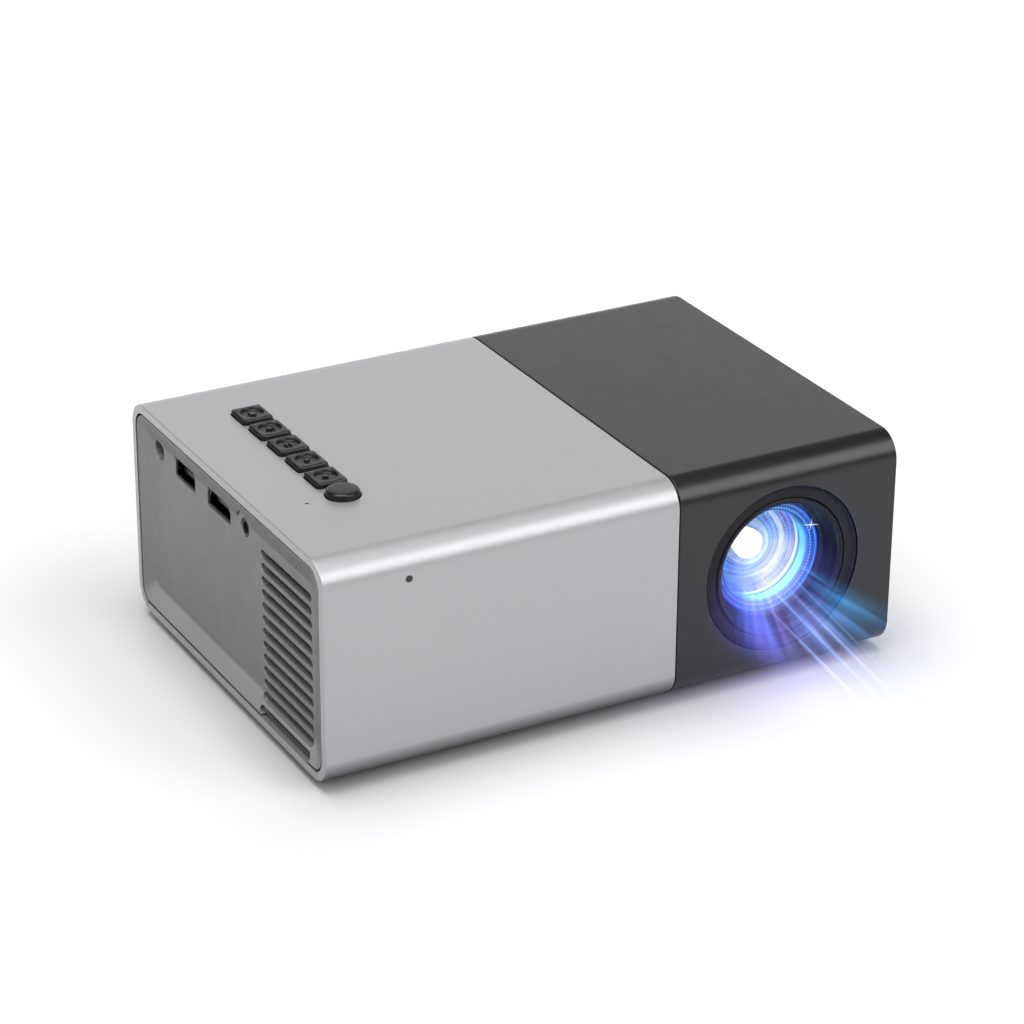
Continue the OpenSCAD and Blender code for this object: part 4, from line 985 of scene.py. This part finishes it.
def spill_light(name, place, aim, colour, power):
    data = bpy.data.lights.new(name, "AREA")
    data.shape = "DISK"
    data.size = 0.02
    data.color = colour
    data.energy = power
    light = bpy.data.objects.new(name, data)
    bpy.context.scene.collection.objects.link(light)
    light.location = Vector(place) * MM
    light.rotation_euler = (Vector(aim) - Vector(place)).to_track_quat("-Z", "Y").to_euler()


def build_spill():
    """Blue and violet light from the lens, falling on the face around it and on the floor in front."""
    spill_light("spill_face", (LENS_X + 6, FRONT_Y - 16, LENS_Z - 14), (LENS_X + 4, FRONT_Y, LENS_Z - 26),
                (0.30, 0.22, 1.0), 0.005)
    spill_light("spill_side", (LENS_X + 24, FRONT_Y - 20, LENS_Z - 4), (LENS_X + 30, FRONT_Y, LENS_Z - 8),
                (0.10, 0.40, 1.0), 0.003)
    spill_light("spill_floor", (LENS_X + 8, FRONT_Y - 8, 26), (LENS_X + 22, FRONT_Y - 40, 0),
                (0.84, 0.86, 1.0), 0.0006)


def build_lens():
    ring_low, ring_high = mm_box("focus_ring")
    out_r = (ring_high.x - ring_low.x) / 2
    bezel_r = out_r + 0.3
    bezel = [(bezel_r, 1.3), (RECESS_R - 1.3, 1.4), (RECESS_R - 0.2, 0.3), (RECESS_R - 0.2, WALL + 0.2),
             (RECESS_R + 1, WALL + 0.2), (RECESS_R + 1, WALL + 1.6), (bezel_r, WALL + 1.6)]
    add_piece(lathe("recess_bezel", bezel, 0.12), ring_black, "casing", "black_plastic", "lens_bezel")
    ring = [(out_r, 1.4), (out_r, 28), (out_r - 1.7, 28), (out_r - 1.7, 6.6), (17.9, 6.6), (18.1, 5.8),
            (18.75, 4.0), (18.95, 3.9), (out_r - 1.9, 1.9), (out_r - 1.7, 1.7), (out_r - 0.4, 1.0)]
    # The barrel, keeper, baffle and middle element carry painted light: they glow though they are no lamps.
    lit = lens_light()
    add_piece(lathe("focus_grip", ring, 0.14), ring_black, "focus_ring", "ring_plastic", "focus_ring")
    barrel = [(BARREL_R, 8.9), (BARREL_R, 38), (13.8, 38), (13.8, 31), (15.6, 31), (15.6, 8.5),
              (BARREL_R - 0.4, 8.5)]
    add_piece(lathe("sliding_barrel", barrel, 0.12), lit, "lens_barrel", "ring_plastic", "lens_barrel")
    keeper = [(14.4, 9.1), (15.5, 9.1), (15.5, 12.9), (13.8, 12.9), (13.8, 10.3)]
    add_piece(lathe("threaded_keeper", keeper, 0.1), lit, "lens_barrel", "ring_plastic", "retaining_ring")
    steps = [(13.8, 15.6), (13.6, 16.2), (13.6, 17.2), (12.5, 17.3), (12.4, 18.2), (11.4, 18.3), (11.3, 19.2),
             (10.2, 19.3), (10.1, 20.2), (8.6, 20.3), (8.4, 21.1), (15.4, 21.1), (15.4, 15.6)]
    add_piece(lathe("lit_baffle", steps, 0.08, 3), lit, "lens_barrel", "reflector", "lens_spacers")
    dome = [[0.6, 19.9], [3.0, 20.0], [5.2, 20.3], [7.4, 20.8], [9.6, 21.3], [13.6, 21.4], [15.4, 21.4],
            [15.4, 26.9], [0.6, 26.9]]
    place = from_front(LENS_X, LENS_Z)
    add_piece(disc_stack("lit_element", dome, place, 96), lit, "lens_barrel", "optical_glass", "middle_lens")
    curve = (GLASS_R ** 2 + 2.5 ** 2) / 5
    faces = [[r, 11 + curve - math.sqrt(curve ** 2 - r * r)]
             for r in (0.3, 3, 6, 8.5, 10.5, 12.2, 13.6, 14.8, 15.4)]
    glass_rings = faces + [[r, 29 - d] for r, d in reversed(faces)]
    add_piece(disc_stack("front_element", glass_rings, place, 128), glass, "lens_barrel", "optical_glass",
              "front_lens", angle=60)


# ---------------------------------------------------------------- camera, lights and floor


def build_camera():
    """The photograph's view: a long lens that looks down on the port end and the lens face."""
    camera = bpy.data.objects.new("camera", bpy.data.cameras.new("camera"))
    bpy.context.scene.collection.objects.link(camera)
    camera.data.lens = 120.48
    camera.data.sensor_width = 36
    camera.data.clip_start, camera.data.clip_end = 0.01, 50
    aim, distance = Vector((4.0, 6.0, 35.4)) * MM, 1007.7 * MM
    azimuth, elevation, roll = math.radians(-28.74), math.radians(25.44), math.radians(0.36)
    back = Vector((math.sin(azimuth) * math.cos(elevation), -math.cos(azimuth) * math.cos(elevation),
                   math.sin(elevation)))
    camera.location = aim + back * distance
    turn = (-back).to_track_quat("-Z", "Y").to_matrix().to_4x4() @ Matrix.Rotation(roll, 4, "Z")
    camera.rotation_mode = "QUATERNION"
    camera.rotation_quaternion = turn.to_quaternion()
    bpy.context.scene.camera = camera


HORIZON = 1.02
SOFTBOX = 3.95
OVERHEAD = 6.6
SIDE_LIGHT = 1.5
AMBIENT = 0.06


def build_world():
    """A white studio: a pale horizon behind, a tall softbox in front on the right, and another overhead."""
    world = bpy.data.worlds.new("studio")
    bpy.context.scene.world = world
    world.use_nodes = True
    tree = world.node_tree
    tree.nodes.clear()
    out = tree.nodes.new("ShaderNodeOutputWorld")
    shown = tree.nodes.new("ShaderNodeBackground")
    light = tree.nodes.new("ShaderNodeBackground")
    shown.inputs["Color"].default_value = light.inputs["Color"].default_value = (1, 1, 1, 1)
    coords = tree.nodes.new("ShaderNodeTexCoord")
    split = tree.nodes.new("ShaderNodeSeparateXYZ")
    tree.links.new(coords.outputs["Generated"], split.inputs[0])

    def step(axis, start, end):
        """Rises from 0 to 1 as the direction's component goes from start to end."""
        node = tree.nodes.new("ShaderNodeMapRange")
        node.interpolation_type = "SMOOTHSTEP"
        falling = start > end
        node.inputs["From Min"].default_value = end if falling else start
        node.inputs["From Max"].default_value = start if falling else end
        node.inputs["To Min"].default_value = 1.0 if falling else 0.0
        node.inputs["To Max"].default_value = 0.0 if falling else 1.0
        tree.links.new(split.outputs[axis], node.inputs["Value"])
        return node.outputs["Result"]

    def combine(operation, *values):
        total = values[0]
        for value in values[1:]:
            node = tree.nodes.new("ShaderNodeMath")
            node.operation = operation
            tree.links.new(total, node.inputs[0])
            if isinstance(value, (int, float)):
                node.inputs[1].default_value = value
            else:
                tree.links.new(value, node.inputs[1])
            total = node.outputs[0]
        return total

    horizon = combine("MULTIPLY", step("Y", 0.1, 0.5), step("Z", 0.62, 0.42), step("X", -0.4, 0.0), HORIZON)
    softbox = combine("MULTIPLY", step("Y", -0.1, -0.3), step("Z", 0.24, 0.38), step("Z", 0.84, 0.72),
                      step("X", -0.05, 0.15), step("X", 0.8, 0.65), SOFTBOX)
    overhead = combine("MULTIPLY", step("Z", 0.86, 0.94), step("X", 0.3, 0.1), OVERHEAD)
    side_light = combine("MULTIPLY", step("X", -0.3, -0.6), step("Z", 0.25, 0.5), step("Y", 0.35, 0.1),
                         SIDE_LIGHT)
    strength = combine("ADD", horizon, softbox, overhead, side_light, AMBIENT)
    tree.links.new(strength, light.inputs["Strength"])
    mix = tree.nodes.new("ShaderNodeMixShader")
    path = tree.nodes.new("ShaderNodeLightPath")
    tree.links.new(path.outputs["Is Camera Ray"], mix.inputs["Fac"])
    tree.links.new(light.outputs[0], mix.inputs[1])
    tree.links.new(shown.outputs[0], mix.inputs[2])
    tree.links.new(mix.outputs[0], out.inputs["Surface"])


def build_floor():
    floor = Shader("studio_floor", (0.72, 0.72, 0.725), 0.7)
    split = floor.node("SeparateXYZ")
    floor.link(floor.coords(), split.inputs[0])
    # Painted shadow: the floor's colour is darkest right by the casing and pales with the distance from it.
    away = []
    for axis, half in (("X", RIGHT_X), ("Y", REAR_Y)):
        beyond = floor.math("SUBTRACT", floor.math("ABSOLUTE", split.outputs[axis]), half * MM)
        away.append(floor.math("POWER", floor.math("MAXIMUM", beyond, 0.0), 2.0))
    gap = floor.math("MULTIPLY", floor.math("SQRT", floor.math("ADD", *away)), 8.0)
    pale = floor.ramp(gap, [(0.0, (0.54, 0.54, 0.55)), (0.12, (0.60, 0.60, 0.61)), (0.4, (0.68, 0.68, 0.685)),
                            (0.9, (0.73, 0.73, 0.735))])
    floor.link(pale, floor.bsdf.inputs["Base Color"])
    mesh = bpy.data.meshes.new("floor")
    size = 6
    corners = [(-size, -size, 0), (size, -size, 0), (size, size, 0), (-size, size, 0)]
    mesh.from_pydata(corners, [], [(0, 1, 2, 3)])
    made = bpy.data.objects.new("floor", mesh)
    bpy.context.scene.collection.objects.link(made)
    mesh.materials.append(floor.material)


build_main_shell()
build_lens_cover()
build_tray()
build_feet()
build_case_screws()
build_tripod_insert()
build_port_panel()
build_side_panel()
build_screen("outlet_screen", "outlet_mesh")
build_screen("intake_screen", "intake_mesh")
for key_node in KEY_NODES:
    build_key(key_node, ICONS[key_node])
build_power_button()
build_lens()
build_beam()
build_camera()
build_world()
build_spill()
build_floor()

bpy.context.scene.view_settings.view_transform = "Standard"
